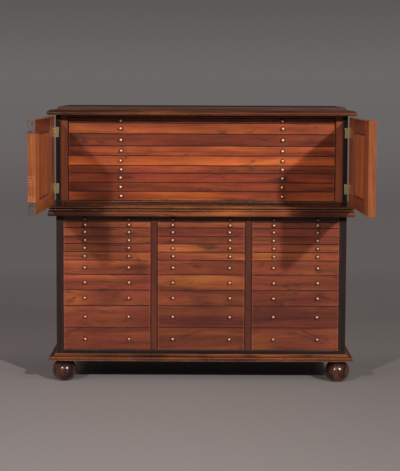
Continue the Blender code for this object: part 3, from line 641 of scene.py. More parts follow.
class Piece:
    """A piece in the making: boards, lofts and turned forms in one mesh."""

    TURNS = {"x": (0, 2, 1), "y": (1, 0, 2), "z": (2, 0, 1)}

    def __init__(self, name, *finishes):
        self.name = name
        self.finishes = finishes
        self.shape = bmesh.new()
        layers = self.shape.loops.layers
        self.grain = layers.float_vector.new("grain")
        self.tone = layers.float_vector.new("tone")
        self.wear = layers.float.new("wear")

    def mark(self, faces, along, tone, wear=None, finish=0):
        """Give faces their grain, from one place in the timber, with their tone, wear and shading, and
        finish.

        The tone is lightness, redness and maybe depth, or the tones that vertices have of their own.
        """
        order = self.TURNS[along]
        start = Vector([RANDOM.uniform(0, 40) for _ in range(3)])
        for face in faces:
            face.material_index = finish
            for loop in face.loops:
                place = loop.vert.co
                loop[self.grain] = start + Vector([place[axis] for axis in order])
                loop[self.tone] = (*(tone[loop.vert] if isinstance(tone, dict) else tone), 0.0)[:3]
                loop[self.wear] = wear.get(loop.vert, 0.0) if wear else 0.0

    def board(self, low, high, along, tone=(0.0, 0.0), finish=0, arris=ARRIS, rub=1.0, ends=None):
        """Add a board with softened arrises.

        The arrises' wear is rub; below zero it darkens them, which is dirt, and on the bottom board and the
        drawer fronts also painted shade. Ends is the finish of the end grain, if it has its own.
        """
        others = set(self.shape.faces)
        low, high = Vector(low), Vector(high)
        low, high = Vector(map(min, low, high)), Vector(map(max, low, high))
        size = high - low
        place = Matrix.Translation((low + high) / 2) @ Matrix.Diagonal((*size, 1.0))
        cube = bmesh.ops.create_cube(self.shape, size=1.0, matrix=place)
        edges = list({edge for vert in cube["verts"] for edge in vert.link_edges})
        bmesh.ops.bevel(self.shape, geom=edges, offset=arris, segments=2, profile=0.5, affect="EDGES")
        broad = [face for face in self.shape.faces
                 if face not in others and max(map(abs, face.normal)) > BROAD_FACE]
        band = min(WORN_BAND, min(size) * BOARD_BAND)
        bmesh.ops.inset_individual(self.shape, faces=broad, thickness=band, use_even_offset=True)
        inner = {vert for face in broad for vert in face.verts}
        made = [face for face in self.shape.faces if face not in others]
        wear = {vert: rub for face in made for vert in face.verts if vert not in inner}
        self.mark(made, along, tone, wear, finish)
        if ends is not None:
            axis = "xyz".index(along)
            for face in made:
                if abs(face.normal[axis]) > END_FACE:
                    face.material_index = ends
        return made

    def cut(self, faces, axis, places):
        """Cut faces at places along an axis, and return those that they become."""
        parts = faces + list({edge for face in faces for edge in face.edges})
        parts += list({vert for face in faces for vert in face.verts})
        across = Vector([float(index == axis) for index in range(3)])
        for place in places:
            parts = bmesh.ops.bisect_plane(self.shape, geom=parts, plane_co=across * place, plane_no=across,
                                           dist=MERGED)["geom"]
        return [part for part in parts if isinstance(part, bmesh.types.BMFace)]

    def loft(self, rings):
        """Add faces through rings of as many points each, and caps, and return them by the ring's sides."""
        loops = [[self.shape.verts.new(point) for point in ring] for ring in rings]
        count = len(loops[0])
        sides = [[] for _ in range(count)]
        for near, far in zip(loops, loops[1:]):
            for index in range(count):
                after = (index + 1) % count
                sides[index].append(self.shape.faces.new((near[index], near[after], far[after], far[index])))
        caps = [self.shape.faces.new(loops[0][::-1]), self.shape.faces.new(loops[-1])]
        return loops, sides, caps

    def prism(self, outline, low, high):
        """Add an upright solid on an outline of (x, y)."""
        _, sides, caps = self.loft([[(x, y, z) for x, y in outline] for z in (low, high)])
        self.mark([face for faces in sides for face in faces] + caps, "z", (0.0, 0.0))

    def lathe(self, profile, sides, at, tone=(0.0, 0.0)):
        """Add a turned form standing on a point; the (radius, height) profile starts and ends on its axis."""
        others = set(self.shape.verts)
        points = [self.shape.verts.new((radius, 0.0, height)) for radius, height in profile]
        edges = [self.shape.edges.new(pair) for pair in zip(points, points[1:])]
        bmesh.ops.spin(self.shape, geom=points + edges, axis=(0, 0, 1), cent=(0, 0, 0),
                       angle=math.tau, steps=sides, use_merge=True)
        turned = [vert for vert in self.shape.verts if vert not in others]
        bmesh.ops.remove_doubles(self.shape, verts=turned, dist=MERGED)
        turned = [vert for vert in self.shape.verts if vert not in others]
        bmesh.ops.translate(self.shape, vec=at, verts=turned)
        faces = list({face for vert in turned for face in vert.link_faces})
        bmesh.ops.recalc_face_normals(self.shape, faces=faces)
        self.mark(faces, "z", tone)
        return faces

    def make(self, smooth=None):
        """Turn the piece into an object; smooth is the angle up to which edges are shaded round."""
        mesh = bpy.data.meshes.new(self.name)
        self.shape.to_mesh(mesh)
        self.shape.free()
        for finish in self.finishes:
            mesh.materials.append(finish)
        if smooth:
            mesh.shade_smooth()
            mesh.set_sharp_from_angle(angle=smooth)
        made = bpy.data.objects.new(self.name, mesh)
        bpy.context.scene.collection.objects.link(made)
        return made


def settle(made, body, slot, *nodes):
    """Let a piece ride on its body in place of CAD nodes; slot, the record's finish slot, is not used."""
    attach(made, body)
    if nodes:
        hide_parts(*nodes)


class Tree(Nodes):
    """A Geometry Nodes tree in the making."""

    def __init__(self, name):
        super().__init__(bpy.data.node_groups.new(name, "GeometryNodeTree"))
        self.names = {}

    def ask(self, inputs):
        """Add named inputs to the tree, and return their signals by name."""
        for name, kind in inputs.items():
            socket = self.tree.interface.new_socket(name, in_out="INPUT", socket_type="NodeSocket" + kind)
            self.names[name] = socket.identifier
        node = self.tree.nodes.new("NodeGroupInput")
        return {name: Signal(self, node.outputs[name]) for name in inputs}

    def give(self, name, signal):
        """End the tree in a named geometry."""
        self.tree.interface.new_socket(name, in_out="OUTPUT", socket_type="NodeSocketGeometry")
        self.feed(self.tree.nodes.new("NodeGroupOutput").inputs[0], signal)


def fittings_tree():
    """One fitting at each point of a mesh, a little off its place and turned by chance."""
    tree = Tree("fittings")
    given = tree.ask({"Seats": "Geometry", "Fitting": "Object", "Wander": "Vector", "Least turn": "Vector",
                      "Most turn": "Vector", "Seed": "Int", "Finish": "Material"})
    less = tree.add("ShaderNodeVectorMath", {"operation": "SCALE"}, {0: given["Wander"], "Scale": -1.0})
    off = tree.add("FunctionNodeRandomValue", {"data_type": "FLOAT_VECTOR"},
                   {0: less, 1: given["Wander"], "Seed": given["Seed"]})
    turn = tree.add("FunctionNodeRandomValue", {"data_type": "FLOAT_VECTOR"},
                    {0: given["Least turn"], 1: given["Most turn"], "Seed": given["Seed"]})
    seats = tree.add("GeometryNodeSetPosition", None, {"Geometry": given["Seats"], "Offset": off})
    fitting = tree.add("GeometryNodeObjectInfo", None, {"Object": given["Fitting"], "As Instance": True},
                       "Geometry")
    placed = tree.add("GeometryNodeInstanceOnPoints", None,
                      {"Points": seats, "Instance": fitting, "Rotation": turn})
    real = tree.add("GeometryNodeRealizeInstances", None, {0: placed})
    tree.give("Fittings", tree.add("GeometryNodeSetMaterial", None,
                                   {"Geometry": real, "Material": given["Finish"]}))
    return tree


FITTINGS = fittings_tree()


def fit(name, seats, fitting, finish, wander, least, most):
    """A plain mesh object of fittings on the seats, made by the tree, each turned between least and most."""
    mesh = bpy.data.meshes.new(name)
    mesh.from_pydata([tuple(seat) for seat in seats], [], [])
    holder = bpy.data.objects.new(name + "_seats", mesh)
    bpy.context.scene.collection.objects.link(holder)
    modifier = holder.modifiers.new("fittings", "NODES")
    modifier.node_group = FITTINGS.tree
    for key, value in (("Fitting", fitting), ("Wander", wander), ("Least turn", least), ("Most turn", most),
                       ("Seed", RANDOM.randrange(1000)), ("Finish", finish)):
        modifier[FITTINGS.names[key]] = value
    placed = holder.evaluated_get(bpy.context.evaluated_depsgraph_get())
    made = bpy.data.objects.new(name, bpy.data.meshes.new_from_object(placed))
    bpy.data.objects.remove(holder)
    bpy.context.scene.collection.objects.link(made)
    return made


def template(piece, smooth=None):
    """A fitting to be repeated, turned from +Z to face the front."""
    turn = Matrix.Rotation(math.pi / 2, 4, "X")
    bmesh.ops.transform(piece.shape, matrix=turn, verts=piece.shape.verts)
    return piece.make(smooth)


def arc(centre, radii, start, end, steps):
    """Points of (x, y) on an ellipse between two angles in degrees."""
    angles = [math.radians(start + (end - start) * step / steps) for step in range(steps + 1)]
    return [(centre[0] + radii[0] * math.cos(a), centre[1] + radii[1] * math.sin(a)) for a in angles]


def knob_template():
    """Turned brass knob on its rose, facing the front."""
    piece = Piece("knob", KNOB_BRASS)
    profile = [(0.0, -ROSE_SUNK), (ROSE_RADIUS, -ROSE_SUNK)]
    profile += arc((ROSE_RADIUS - ROSE_SOFT, ROSE_SOFT), (ROSE_SOFT, ROSE_SOFT), 0, 90, 3) + KNOB_NECK
    profile += arc((0.0, KNOB_MIDDLE), (KNOB_RADIUS, KNOB_UNDERSIDE), -60, 0, 6)
    profile += arc((0.0, KNOB_MIDDLE), (KNOB_RADIUS, KNOB_PROJECTION - KNOB_MIDDLE), 0, 90, 8)[1:-1]
    profile += [(0.0, KNOB_PROJECTION)]
    piece.lathe(profile, KNOB_SIDES, (0, 0, 0))
    return template(piece, KNOB_SHADING)


def screw_template():
    """Slotted countersunk screw head, facing the front."""
    piece = Piece("screw", HINGE_BRASS)
    flat = math.degrees(math.asin(SCREW_SLOT / SCREW_RADIUS))
    for side in (-1, 1):
        piece.prism(arc((0, 0), (SCREW_RADIUS, side * SCREW_RADIUS), flat, 180 - flat, 8),
                    -SCREW_DEPTH, SCREW_RIM)
    piece.prism(arc((0, 0), (SCREW_RADIUS, SCREW_RADIUS), 0, 360, 16)[:-1], -SCREW_DEPTH, SCREW_BED)
    bmesh.ops.recalc_face_normals(piece.shape, faces=piece.shape.faces)
    return template(piece)


KNOB = knob_template()
SCREW = screw_template()


def softened(profile):
    """A (height, overhang) profile with rounded corners: points with their wear, the arrises worn pale and
    the hollows darkened as dirt and painted shade.
    """
    points = [Vector((out, height)) for height, out in profile]
    made = [(points[0], 0.0)]
    for before, here, after in zip(points, points[1:], points[2:]):
        legs = (before - here, after - here)
        back, on = (leg.normalized() for leg in legs)
        bend = back.cross(on)
        if abs(bend) < LEAST_BEND:
            made.append((here, 0.0))
            continue
        # Convex arrises are worn pale; hollows are darkened as dirt and painted shade
        wear = 1.0 if bend < 0 else -1.0
        arris = min(ARRIS, *(leg.length * LEG_ARRIS for leg in legs))
        bands = [min(WORN_BAND, leg.length * LEG_BAND) for leg in legs]
        made += [(here + back * bands[0], 0.0), (here + back * arris, wear),
                 (here + (back + on) * arris * 0.3, wear),
                 (here + on * arris, wear), (here + on * bands[1], 0.0)]
    made.append((points[-1], 0.0))
    return made


def moulding(piece, profile, front_extra, stations, wear_and_sheen, tone=END_TONE, crest=(0.0, 0.0), back=BACK_Y):
    """Loft a moulding's profile round the front and ends of the case, mitred.

    Each station along the front is (x, lightness, redness); tone is the ends'.
    Between the heights of its wear band a moulding is worn pale; on the waist's bead this band is also a
    painted highlight. From crest's height up, it is lighter by crest's step; on the waist this is painted
    light on the fillet and the ledge's top.
    """
    rings, wears_and_shading = [], []
    for point, wear in softened(profile):
        out, height = point
        if wear_and_sheen[0] < height < wear_and_sheen[1]:
            wear = RUBBED_AND_SHEEN
        front, end = FRONT_Y - out - front_extra, HALF_WIDTH + out
        ring = [(-end, front, height)] + [(x, front, height) for x, *_ in stations[1:-1]]
        ring += [(end, front, height), (end, back, height), (-end, back, height)]
        rings.append(ring)
        wears_and_shading.append(wear)
    loops, sides, caps = piece.loft(rings)
    wear = {vert: value for loop, value in zip(loops, wears_and_shading) for vert in loop}
    tones = {vert: (station[1] + crest[1] * (vert.co.z > crest[0]), station[2])
             for loop in loops for vert, station in zip(loop, stations)}
    piece.mark([face for faces in sides[:len(stations) - 1] for face in faces], "x", tones, wear)
    for faces, along in zip(sides[len(stations) - 1:], "yxy"):
        piece.mark(faces, along, tone, wear)
    bmesh.ops.dissolve_faces(piece.shape, faces=sides[len(stations)])
    piece.mark(caps[:1], "x", tone)
    piece.mark(caps[1:], "x", {**tones, **{vert: tone for vert in loops[-1][len(stations):]}})


def swell(low, high):
    """Round quarter curve of (height, overhang) between two points."""
    angles = [math.pi / 2 * step / CURVE_STEPS for step in range(CURVE_STEPS + 1)]
    rise, run = high[0] - low[0], high[1] - low[1]
    return [(low[0] + rise * math.sin(angle), high[1] - run * math.cos(angle)) for angle in angles]


def moulded_board(node):
    """A moulded board's box, its overhang at the ends, and how much further it stands out in front."""
    low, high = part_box(node)
    end = high.x - HALF_WIDTH
    return low, high, end, FRONT_Y - low.y - end


def make_cornice():
    """Cornice with a rounded lip, the head board under it, and the planks of the top."""
    low, high, end, extra = moulded_board("cornice_top")
    foot, top = low.z + HEAD_BOARD_HEIGHT, high.z - TOP_BOARD_HEIGHT
    lip = foot + CORNICE_LIP
    piece = Piece("cornice", MOULDING_FINISH, TOP_FINISH)
    profile = [(foot, CORNICE_SOFFIT - CORNICE_BED)] + swell((lip, end), (foot, CORNICE_SOFFIT))[::-1]
    profile += swell((lip, end), (top, CORNICE_SHOULDER))[1:]
    moulding(piece, profile, extra, CORNICE_STATIONS, [foot + rise for rise in CORNICE_RUBBED])
    front = FRONT_Y + TOP_BOARD_INSET
    depth = (BACK_Y - front) / TOP_PLANKS
    half = HALF_WIDTH - TOP_BOARD_INSET
    for plank in range(TOP_PLANKS):
        tone = drawn(PLANK_TONES)
        piece.board((-half, front + plank * depth, top - BURIED), (half, front + (plank + 1) * depth, high.z),
                    "x", tone, 1, arris=PLANK_ARRIS, rub=PLANK_RUB)
    # The head board is darkened as painted shade under the cornice
    piece.board((-LINED_HALF, FRONT_Y + LINING_SETBACK, low.z),
                (LINED_HALF, BACK_Y - BACK_THICKNESS, foot + BURIED), "x", HEAD_SHADE_TONE)
    settle(piece.make(MOULDING_SHADING), "carcass", "moulding_wood", "cornice_top")


def make_waist():
    """Waist moulding of a round body, a bead and a fillet, with the edge of the upper floor over it."""
    low, high, end, extra = moulded_board("waist_board")
    ledge = low.z + WAIST_HEIGHT
    body = low.z + WAIST_BODY
    bead = body + WAIST_BEAD
    fillet = ledge - WAIST_FILLET
    fullest = low.z + WAIST_BODY / 3
    deep = end - WAIST_GROOVE
    quirk = deep - WAIST_QUIRK
    crown = (body + bead) / 2
    piece = Piece("waist", MOULDING_FINISH)
    profile = [(low.z, WAIST_FOOT - WAIST_BED)] + swell((fullest, end), (low.z, WAIST_FOOT))[::-1]
    profile += swell((fullest, end), (body, deep))[1:] + [(body, quirk), (body + WAIST_STEP, quirk)]
    bead_size = (WAIST_GROOVE - WAIST_BEAD_SETBACK, (WAIST_BEAD - WAIST_STEP) / 2)
    rounded = arc((deep, crown + WAIST_STEP / 2), bead_size, -90, 90, 14)
    profile += [(height, out) for out, height in rounded]
    profile += [(bead, quirk), (fillet, quirk), (fillet, end), (ledge, end)]
    # The waist's lighter fillet and ledge top are painted light, its darker ends partly painted shadow of the
    # doors, and the pale band on its bead partly a painted highlight
    moulding(piece, profile, extra, WAIST_STATIONS, [crown + rise for rise in WAIST_WEAR_AND_SHEEN], WAIST_END_TONE,
             (fillet + WAIST_PAINTED_LIGHT[0], WAIST_PAINTED_LIGHT[1]), BACK_Y - BURIED)
    piece.board((-INNER_HALF, FRONT_Y, ledge - BURIED), (INNER_HALF, BACK_Y - BACK_THICKNESS, high.z), "x",
                UPPER_FLOOR_TONE, rub=UPPER_FLOOR_RUB)
    settle(piece.make(MOULDING_SHADING), "carcass", "moulding_wood", "waist_board")


def make_base():
    """Base moulding with its fillet and hollow, and the case's bottom board on it."""
    low, high, end, extra = moulded_board("base_board")
    fillet, shoulder = low.z + BASE_FILLET, low.z + BASE_HEIGHT
    piece = Piece("base", MOULDING_FINISH)
    hollow = swell((shoulder, BASE_SHOULDER), (fillet, end))[::-1]
    profile = [(low.z, end - BASE_BED), (low.z, end)] + hollow
    moulding(piece, profile, extra, BASE_STATIONS, [shoulder + rise for rise in BASE_RUBBED],
             crest=(fillet + BASE_CREST[0], BASE_CREST[1]))
    # The bottom board is near black as painted shade in the strip below the drawers
    piece.board((-INNER_HALF, FRONT_Y + BOTTOM_SETBACK, shoulder - BURIED),
                (INNER_HALF, BACK_Y - BACK_THICKNESS, high.z), "x", BOTTOM_SHADE_TONE, rub=BOTTOM_SHADE_RUB)
    settle(piece.make(MOULDING_SHADING), "carcass", "moulding_wood", "base_board")


def make_sides():
    """Dark case sides with their mahogany linings and the drawers' runners."""
    for hand, side in HANDS.items():
        low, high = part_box(f"{hand}_side")
        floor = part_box("waist_board")[1].z
        piece = Piece(f"{hand}_case_side", CASE_FINISH, LINING_FINISH, TRAY_FINISH)
        rebate = side * (INNER_HALF + LINING_REBATE)
        outer = side * HALF_WIDTH
        lower, upper, lining = SIDE_TONES[hand]
        piece.board((side * INNER_HALF, FRONT_Y, low.z), (outer, BACK_Y, floor), "z", lower)
        piece.board((rebate, FRONT_Y, floor), (outer, BACK_Y, high.z), "z", upper)
        # On the right hand the lining is set lighter as painted light against the door's shadow
        piece.board((rebate + side * BURIED, FRONT_Y + LINING_SETBACK, floor),
                    (side * LINED_HALF, BACK_Y - BACK_THICKNESS, high.z), "z", lining, 1, rub=LINING_RUB)
        add_runners(piece, side * INNER_HALF, -side, hand)
        add_runners(piece, side * LINED_HALF, -side, "upper")
        settle(piece.make(), "carcass", "case_wood", f"{hand}_side")


def add_runners(piece, face, inward, bank):
    """Runners under the trays of a bank of drawers, standing out from a face at x."""
    finish = len(piece.finishes) - 1
    for number in range(1, len(TONES[bank]) + 1):
        low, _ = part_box(f"{bank}_drawer_{number}")
        top = low.z + TRAY_LIFT - RUNNER_DROP
        start = low.y + KNOB_PROJECTION + FRONT_THICKNESS + RUNNER_DROP
        piece.board((face - inward * BURIED, start, top - RUNNER_HEIGHT),
                    (face + inward * RUNNER_WIDTH, BACK_Y - BACK_THICKNESS - RUNNER_BACK_GAP, top),
                    "y", RUNNER_TONE, finish, arris=RUNNER_ARRIS)


def make_partitions():
    """Uprights between the banks of drawers, with runners on both faces."""
    for hand, banks in (("left", ("left", "middle")), ("right", ("middle", "right"))):
        low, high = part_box(f"{hand}_partition")
        piece = Piece(f"{hand}_upright", LINING_FINISH, TRAY_FINISH)
        near, far = low.x + RUNNER_WIDTH, high.x - RUNNER_WIDTH
        piece.board((near, low.y, low.z), (far, high.y, high.z), "z", UPRIGHT_TONE, rub=UPRIGHT_RUB)
        add_runners(piece, near, -1, banks[0])
        add_runners(piece, far, 1, banks[1])
        settle(piece.make(), "carcass", "drawer_wood", f"{hand}_partition")


def make_back():
    """Upright boards across the back, each with chamfered edges."""
    low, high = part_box("back_panel")
    piece = Piece("back_boards", BACK_FINISH)
    width = (high.x - low.x) / BACK_BOARDS
    for index in range(BACK_BOARDS):
        tone = drawn(BACK_TONES)
        piece.board((low.x + index * width, low.y, low.z), (low.x + (index + 1) * width, high.y, high.z),
                    "z", tone, arris=BACK_ARRIS, rub=BACK_RUB)
    settle(piece.make(), "carcass", "back_wood", "back_panel")


def make_feet():
    """Turned bun feet with a narrow neck under the base."""
    for node in ("front_left_foot", "front_right_foot", "back_left_foot", "back_right_foot"):
        low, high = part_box(node)
        centre = (low + high) / 2
        radius = (high.x - low.x) / 2
        start = -math.degrees(math.acos(FOOT_PAD / radius))
        end = math.degrees(math.acos(FOOT_NECK / radius))
        span = math.sin(math.radians(end)) - math.sin(math.radians(start))
        rise = (high.z - FOOT_NECK_HEIGHT) / span
        middle = -rise * math.sin(math.radians(start))
        profile = [(0.0, 0.0), (FOOT_PAD_FLAT, 0.0)]
        profile += arc((0.0, middle), (radius, rise), start, end, 22)
        bead = (FOOT_NECK + FOOT_BEAD_OUT, high.z - FOOT_BEAD_DROP)
        profile += arc(bead, (FOOT_BEAD, FOOT_BEAD), -60, 60, 5)
        profile += [(FOOT_NECK, high.z - FOOT_NECK_LENGTH), (FOOT_NECK, high.z), (0.0, high.z)]
        piece = Piece(node.replace("foot", "bun"), FOOT_FINISH)
        tone = (RANDOM.uniform(*FOOT_LIGHTNESS), FOOT_REDNESS)
        turned = piece.lathe(profile, FOOT_SIDES, (centre.x, centre.y, 0.0), tone)
        # The top of each bun is darkened as painted shade under the base
        for loop in corners(turned):
            loop[piece.wear] = -max(0.0, loop.vert.co.z / high.z - FOOT_SHADE_START) * FOOT_SHADE
        settle(piece.make(ROUND_SHADING), "carcass", "foot_wood", node)


def marked(tone, marks, place):
    """Tone at a place along a front, from 0 to 1."""
    lightness, redness, depth = tone
    for centre, reach, lighter, redder in marks:
        weight = max(0.0, 1 - ((place - centre) / reach) ** 2) ** 2
        lightness += weight * lighter
        redness += weight * redder
    return lightness, redness, depth


def make_front(piece, low, high, tone, marks):
    """Drawer front darkened along its arrises and at the very ends, as dirt and painted shade of the gaps,
    with worn pale bands near its ends; its tone changes along it.
    """
    faces = piece.board(low, high, "x", tone, arris=FRONT_ARRIS, rub=FRONT_DIRT_AND_SHADE)
    width = high[0] - low[0]
    steps = round(width / FRONT_STEP)
    cuts = [low[0] + width * step / steps for step in range(1, steps)]
    cuts += [end for band, _ in END_BANDS[1:] for end in (low[0] + band, high[0] - band)]
    faces = piece.cut(faces, 0, cuts)
    for loop in corners(faces):
        x = loop.vert.co.x
        loop[piece.tone] = marked(tone, marks, (x - low[0]) / width)
        inside = min(x - low[0], high[0] - x)
        if inside < END_BANDS[-1][0] - BAND_SLACK:
            loop[piece.wear] = [wear for start, wear in END_BANDS if start < inside + BAND_SLACK][-1]
    return faces


def make_drawer(node, bank, tone, marks, brass):
    """A drawer: its front with two knobs, and a tray of plain boards behind it."""
    low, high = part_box(node)
    front = low.y + KNOB_PROJECTION
    rear = front + FRONT_THICKNESS
    middle, reach = (low.x + high.x) / 2, KNOB_SPACING[bank] / 2
    piece = Piece(node + "_box", DRAWER_FINISH, TRAY_FINISH)
    knob = piece.shape.loops.layers.float_vector.new("knob")
    centre = (low.z + high.z) / 2
    tone = (*tone, DEPTHS[bank])
    for face in make_front(piece, (low.x, front, low.z), (high.x, rear, high.z), tone, marks):
        # Only the face that the knobs stand on is near them
        far = 0.0 if face.normal.y < -FRONT_FACE else 1.0
        for loop in face.loops:
            place = loop.vert.co
            loop[knob] = Vector((place.x - middle, place.z - centre + far, reach))
    bottom, top = low.z + TRAY_LIFT, high.z - TRAY_DROP
    tray = drawn(TRAY_TONES)
    for x, inner in ((low.x, low.x + TRAY_WALL), (high.x, high.x - TRAY_WALL)):
        piece.board((x, rear - BURIED, bottom), (inner, high.y, top), "y", tray, 1, arris=TRAY_ARRIS)
    piece.board((low.x + TRAY_WALL, high.y - TRAY_WALL, bottom), (high.x - TRAY_WALL, high.y - BURIED, top),
                "x", tray, 1, arris=TRAY_ARRIS)
    piece.board((low.x + TRAY_WALL - BURIED, rear - BURIED, bottom),
                (high.x - TRAY_WALL + BURIED, high.y - TRAY_WALL + BURIED, bottom + TRAY_FLOOR),
                "x", (tray[0] + TRAY_FLOOR_LIGHTER, tray[1]), 1, arris=TRAY_FLOOR_ARRIS)
    settle(piece.make(), node, "drawer_wood", node)
    seats = [(middle + side * reach, front, centre) for side in (-1, 1)]
    knobs = fit(node + "_knobs", seats, KNOB, brass, (KNOB_WANDER, 0.0, KNOB_WANDER / 2),
                (-KNOB_LEAN, 0.0, -KNOB_LEAN), (KNOB_LEAN, 0.0, KNOB_LEAN))
    settle(knobs, node, "brass")


def make_drawers():
    """All four banks, with the brightest brass on the long drawers and brass darkened as painted shade on the
    knobs under the waist.
    """
    for bank, tones in TONES.items():
        for number, tone in enumerate(tones, start=1):
            # The first knobs of the lower banks get darkened brass: painted shade under the waist
            brass = KNOB_BRASS if bank == "upper" else SHADE_PAINTED_BRASS if number == 1 else WORN_BRASS
            make_drawer(f"{bank}_drawer_{number}", bank, tone, MARKS[bank].get(number, ()), brass)


def joint(name):
    """A joint of the frame, by its name."""
    return next(item for item in frame["joints"] if item["name"] == name)


def door_panel(piece, box, faces, tone):
    """Sunk panel with a rounded moulding against the frame on both faces."""
    left, right, low, high = box
    outer, inner = faces
    sink = (DOOR_THICKNESS - PANEL_THICKNESS) / 2
    lip = PANEL_MOULDING + PANEL_LIP
    curve = arc((0.0, 0.0), (PANEL_MOULDING, sink), 0, 90, 6)
    steps = [(lip, outer + sink)] + [(x, outer + y) for x, y in curve]
    steps += [(x, inner - y) for x, y in curve[::-1]] + [(lip, inner - sink)]
    rings = [[(left + inset, y, low + inset), (right - inset, y, low + inset),
              (right - inset, y, high - inset), (left + inset, y, high - inset)] for inset, y in steps]
    loops, sides, caps = piece.loft(rings)
    dirt = {vert: PANEL_MOULDING_RUB for loop in loops[:2] + loops[-2:] for vert in loop}
    for run, along in zip(sides, "xzxz"):
        piece.mark(run, along, PANEL_MOULDING_TONE, dirt)
    piece.shape.normal_update()
    made = caps + bmesh.ops.inset_individual(piece.shape, faces=caps, thickness=PANEL_BORDER)["faces"]
    inside = {vert for face in caps for vert in face.verts}
    dirt = {vert: PANEL_BORDER_RUB for face in made for vert in face.verts if vert not in inside}
    piece.mark(made, "z", tone, dirt)


def scuff(piece, faces, foot):
    """Leave pale scuffs across the lower part of a door's leading edge."""
    places = [foot + place for place in SCUFFS]
    cuts = [place + step * SCUFF_REACH for place in places for step in (-1, 0, 1)]
    for loop in corners(piece.cut(faces, 2, cuts)):
        if min(abs(loop.vert.co.z - place) for place in places) < SCUFF_REACH / 2:
            loop[piece.wear] = RANDOM.uniform(*SCUFF_WEAR)


def hang(piece, place):
    """Put what was worked out shut where the open door is."""
    bmesh.ops.transform(piece.shape, matrix=place, verts=piece.shape.verts)
    if place.determinant() < 0:
        bmesh.ops.reverse_faces(piece.shape, faces=piece.shape.faces)


def make_door(hand, side):
    """Framed door with its hinge leaves, worked out shut and swung open about its hinge line."""
    low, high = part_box(f"{hand}_door")
    swing = joint(f"{hand}_door_swing")
    line = Vector((swing["pos_m"][0], swing["pos_m"][1], low.z))
    # The swing's range starts at shut, so its start tells how far the door stands open
    opened = side * math.radians(-swing["range_deg"][0])
    place = Matrix.Translation(line) @ Matrix.Rotation(opened, 4, "Z") @ Matrix.Diagonal((-side, 1, 1, 1))
    height = high.z - low.z
    start = abs(line.x) - HALF_WIDTH
    lead = abs(line.x) - DOOR_GAP / 2
    inner, outer = -DOOR_GAP / 2, -DOOR_GAP / 2 - DOOR_THICKNESS
    stile, lead_stile = start + HINGE_STILE, lead - LEADING_STILE
    # The left door's rails run through to its leading edge, the right door's stop at the stile
    through = hand == "left"
    rail_end = lead if through else lead_stile
    rail_low, rail_high = BOTTOM_RAIL, height - TOP_RAIL
    stile_low, stile_high = (rail_low, rail_high) if through else (0.0, height)
    piece = Piece(f"{hand}_framed_door", DOOR_FINISH, END_GRAIN)
    # The doors' tones are partly painted light on their inner faces
    edge_tone, stile_tone, foot_tone, panel_tone = DOOR_TONES[hand]
    piece.board((start, outer, 0.0), (stile, inner, height), "z", HINGE_STILE_TONE, rub=DOOR_RUB)
    leading = piece.board((lead_stile, outer, stile_low), (lead, inner, stile_high), "z", stile_tone,
                          rub=DOOR_RUB)
    top = piece.board((stile, outer, rail_high), (rail_end, inner, height), "x", TOP_RAIL_TONE,
                      ends=1, rub=DOOR_RUB)
    foot = piece.board((stile, outer, 0.0), (rail_end, inner, rail_low), "x", foot_tone,
                       ends=1, rub=DOOR_RUB)
    door_panel(piece, (stile, lead_stile, rail_low, rail_high), (outer, inner), panel_tone)
    edge = [face for face in leading if face.normal.x > EDGE_FACE]
    ends = [[face for face in faces if face.material_index] for faces in (top, foot)]
    for faces, tone in zip((edge, *ends), (edge_tone, TOP_END_TONE, FOOT_END_TONE)):
        for loop in corners(faces):
            loop[piece.tone] = (*tone, 0.0)[:3]
    for loop in corners(top):
        if loop.vert.co.z > height - 2 * ARRIS:
            loop[piece.wear] = TOP_RUB
    if through:
        scuff(piece, edge, stile_low)
    hang(piece, place)
    settle(piece.make(), f"{hand}_door", "door_wood", f"{hand}_door")
    make_door_leaves(f"{hand}_door", place, start, inner, (HINGE_INSET, height - HINGE_INSET))


def make_door_leaves(body, place, start, inner, middles):
    """Moving halves of a door's hinges, at heights up the shut door: leaf, one knuckle and screws."""
    piece = Piece(body + "_leaves", HINGE_BRASS)
    half, barrel = HINGE_HEIGHT / 2, HINGE_HEIGHT / KNUCKLES / 2 - KNUCKLE_GAP / 2
    bed, proud = inner - LEAF_THICKNESS, inner + LEAF_PROUD
    for middle in middles:
        piece.board((start, bed, middle - half), (start + LEAF_WIDTH, proud, middle + half), "z",
                    arris=LEAF_ARRIS)
        piece.board((WEB_START, bed, middle - barrel), (start + LEAF_PROUD, inner, middle + barrel), "z",
                    arris=WEB_ARRIS)
        add_barrel(piece, (0.0, 0.0), middle - barrel, middle + barrel)
    hang(piece, place)
    settle(piece.make(ROUND_SHADING), body, "brass")
    screws = fit_screws(body, start + LEAF_WIDTH * SCREW_PLACE, proud, middles, math.pi)
    screws.data.transform(place)
    if place.determinant() < 0:
        screws.data.flip_normals()
    settle(screws, body, "brass")


def add_barrel(piece, axis, low, high):
    """A hinge knuckle about a vertical line, with softened ends."""
    height, inside = high - low, KNUCKLE_RADIUS - KNUCKLE_SOFT
    profile = [(0.0, 0.0), (inside, 0.0), (KNUCKLE_RADIUS, KNUCKLE_SOFT)]
    profile += [(KNUCKLE_RADIUS, height - KNUCKLE_SOFT), (inside, height), (0.0, height)]
    piece.lathe(profile, KNUCKLE_SIDES, (*axis, low))


def fit_screws(name, x, y, middles, facing):
    """Three screws in each hinge leaf, turned by facing about the vertical, with slots at any angle."""
    seats = [(x, y, middle + step * SCREW_PITCH) for middle in middles for step in (-1, 0, 1)]
    return fit(name + "_screws", seats, SCREW, HINGE_BRASS, SCREW_WANDER, (0.0, 0.0, facing),
               (0.0, math.pi, facing))


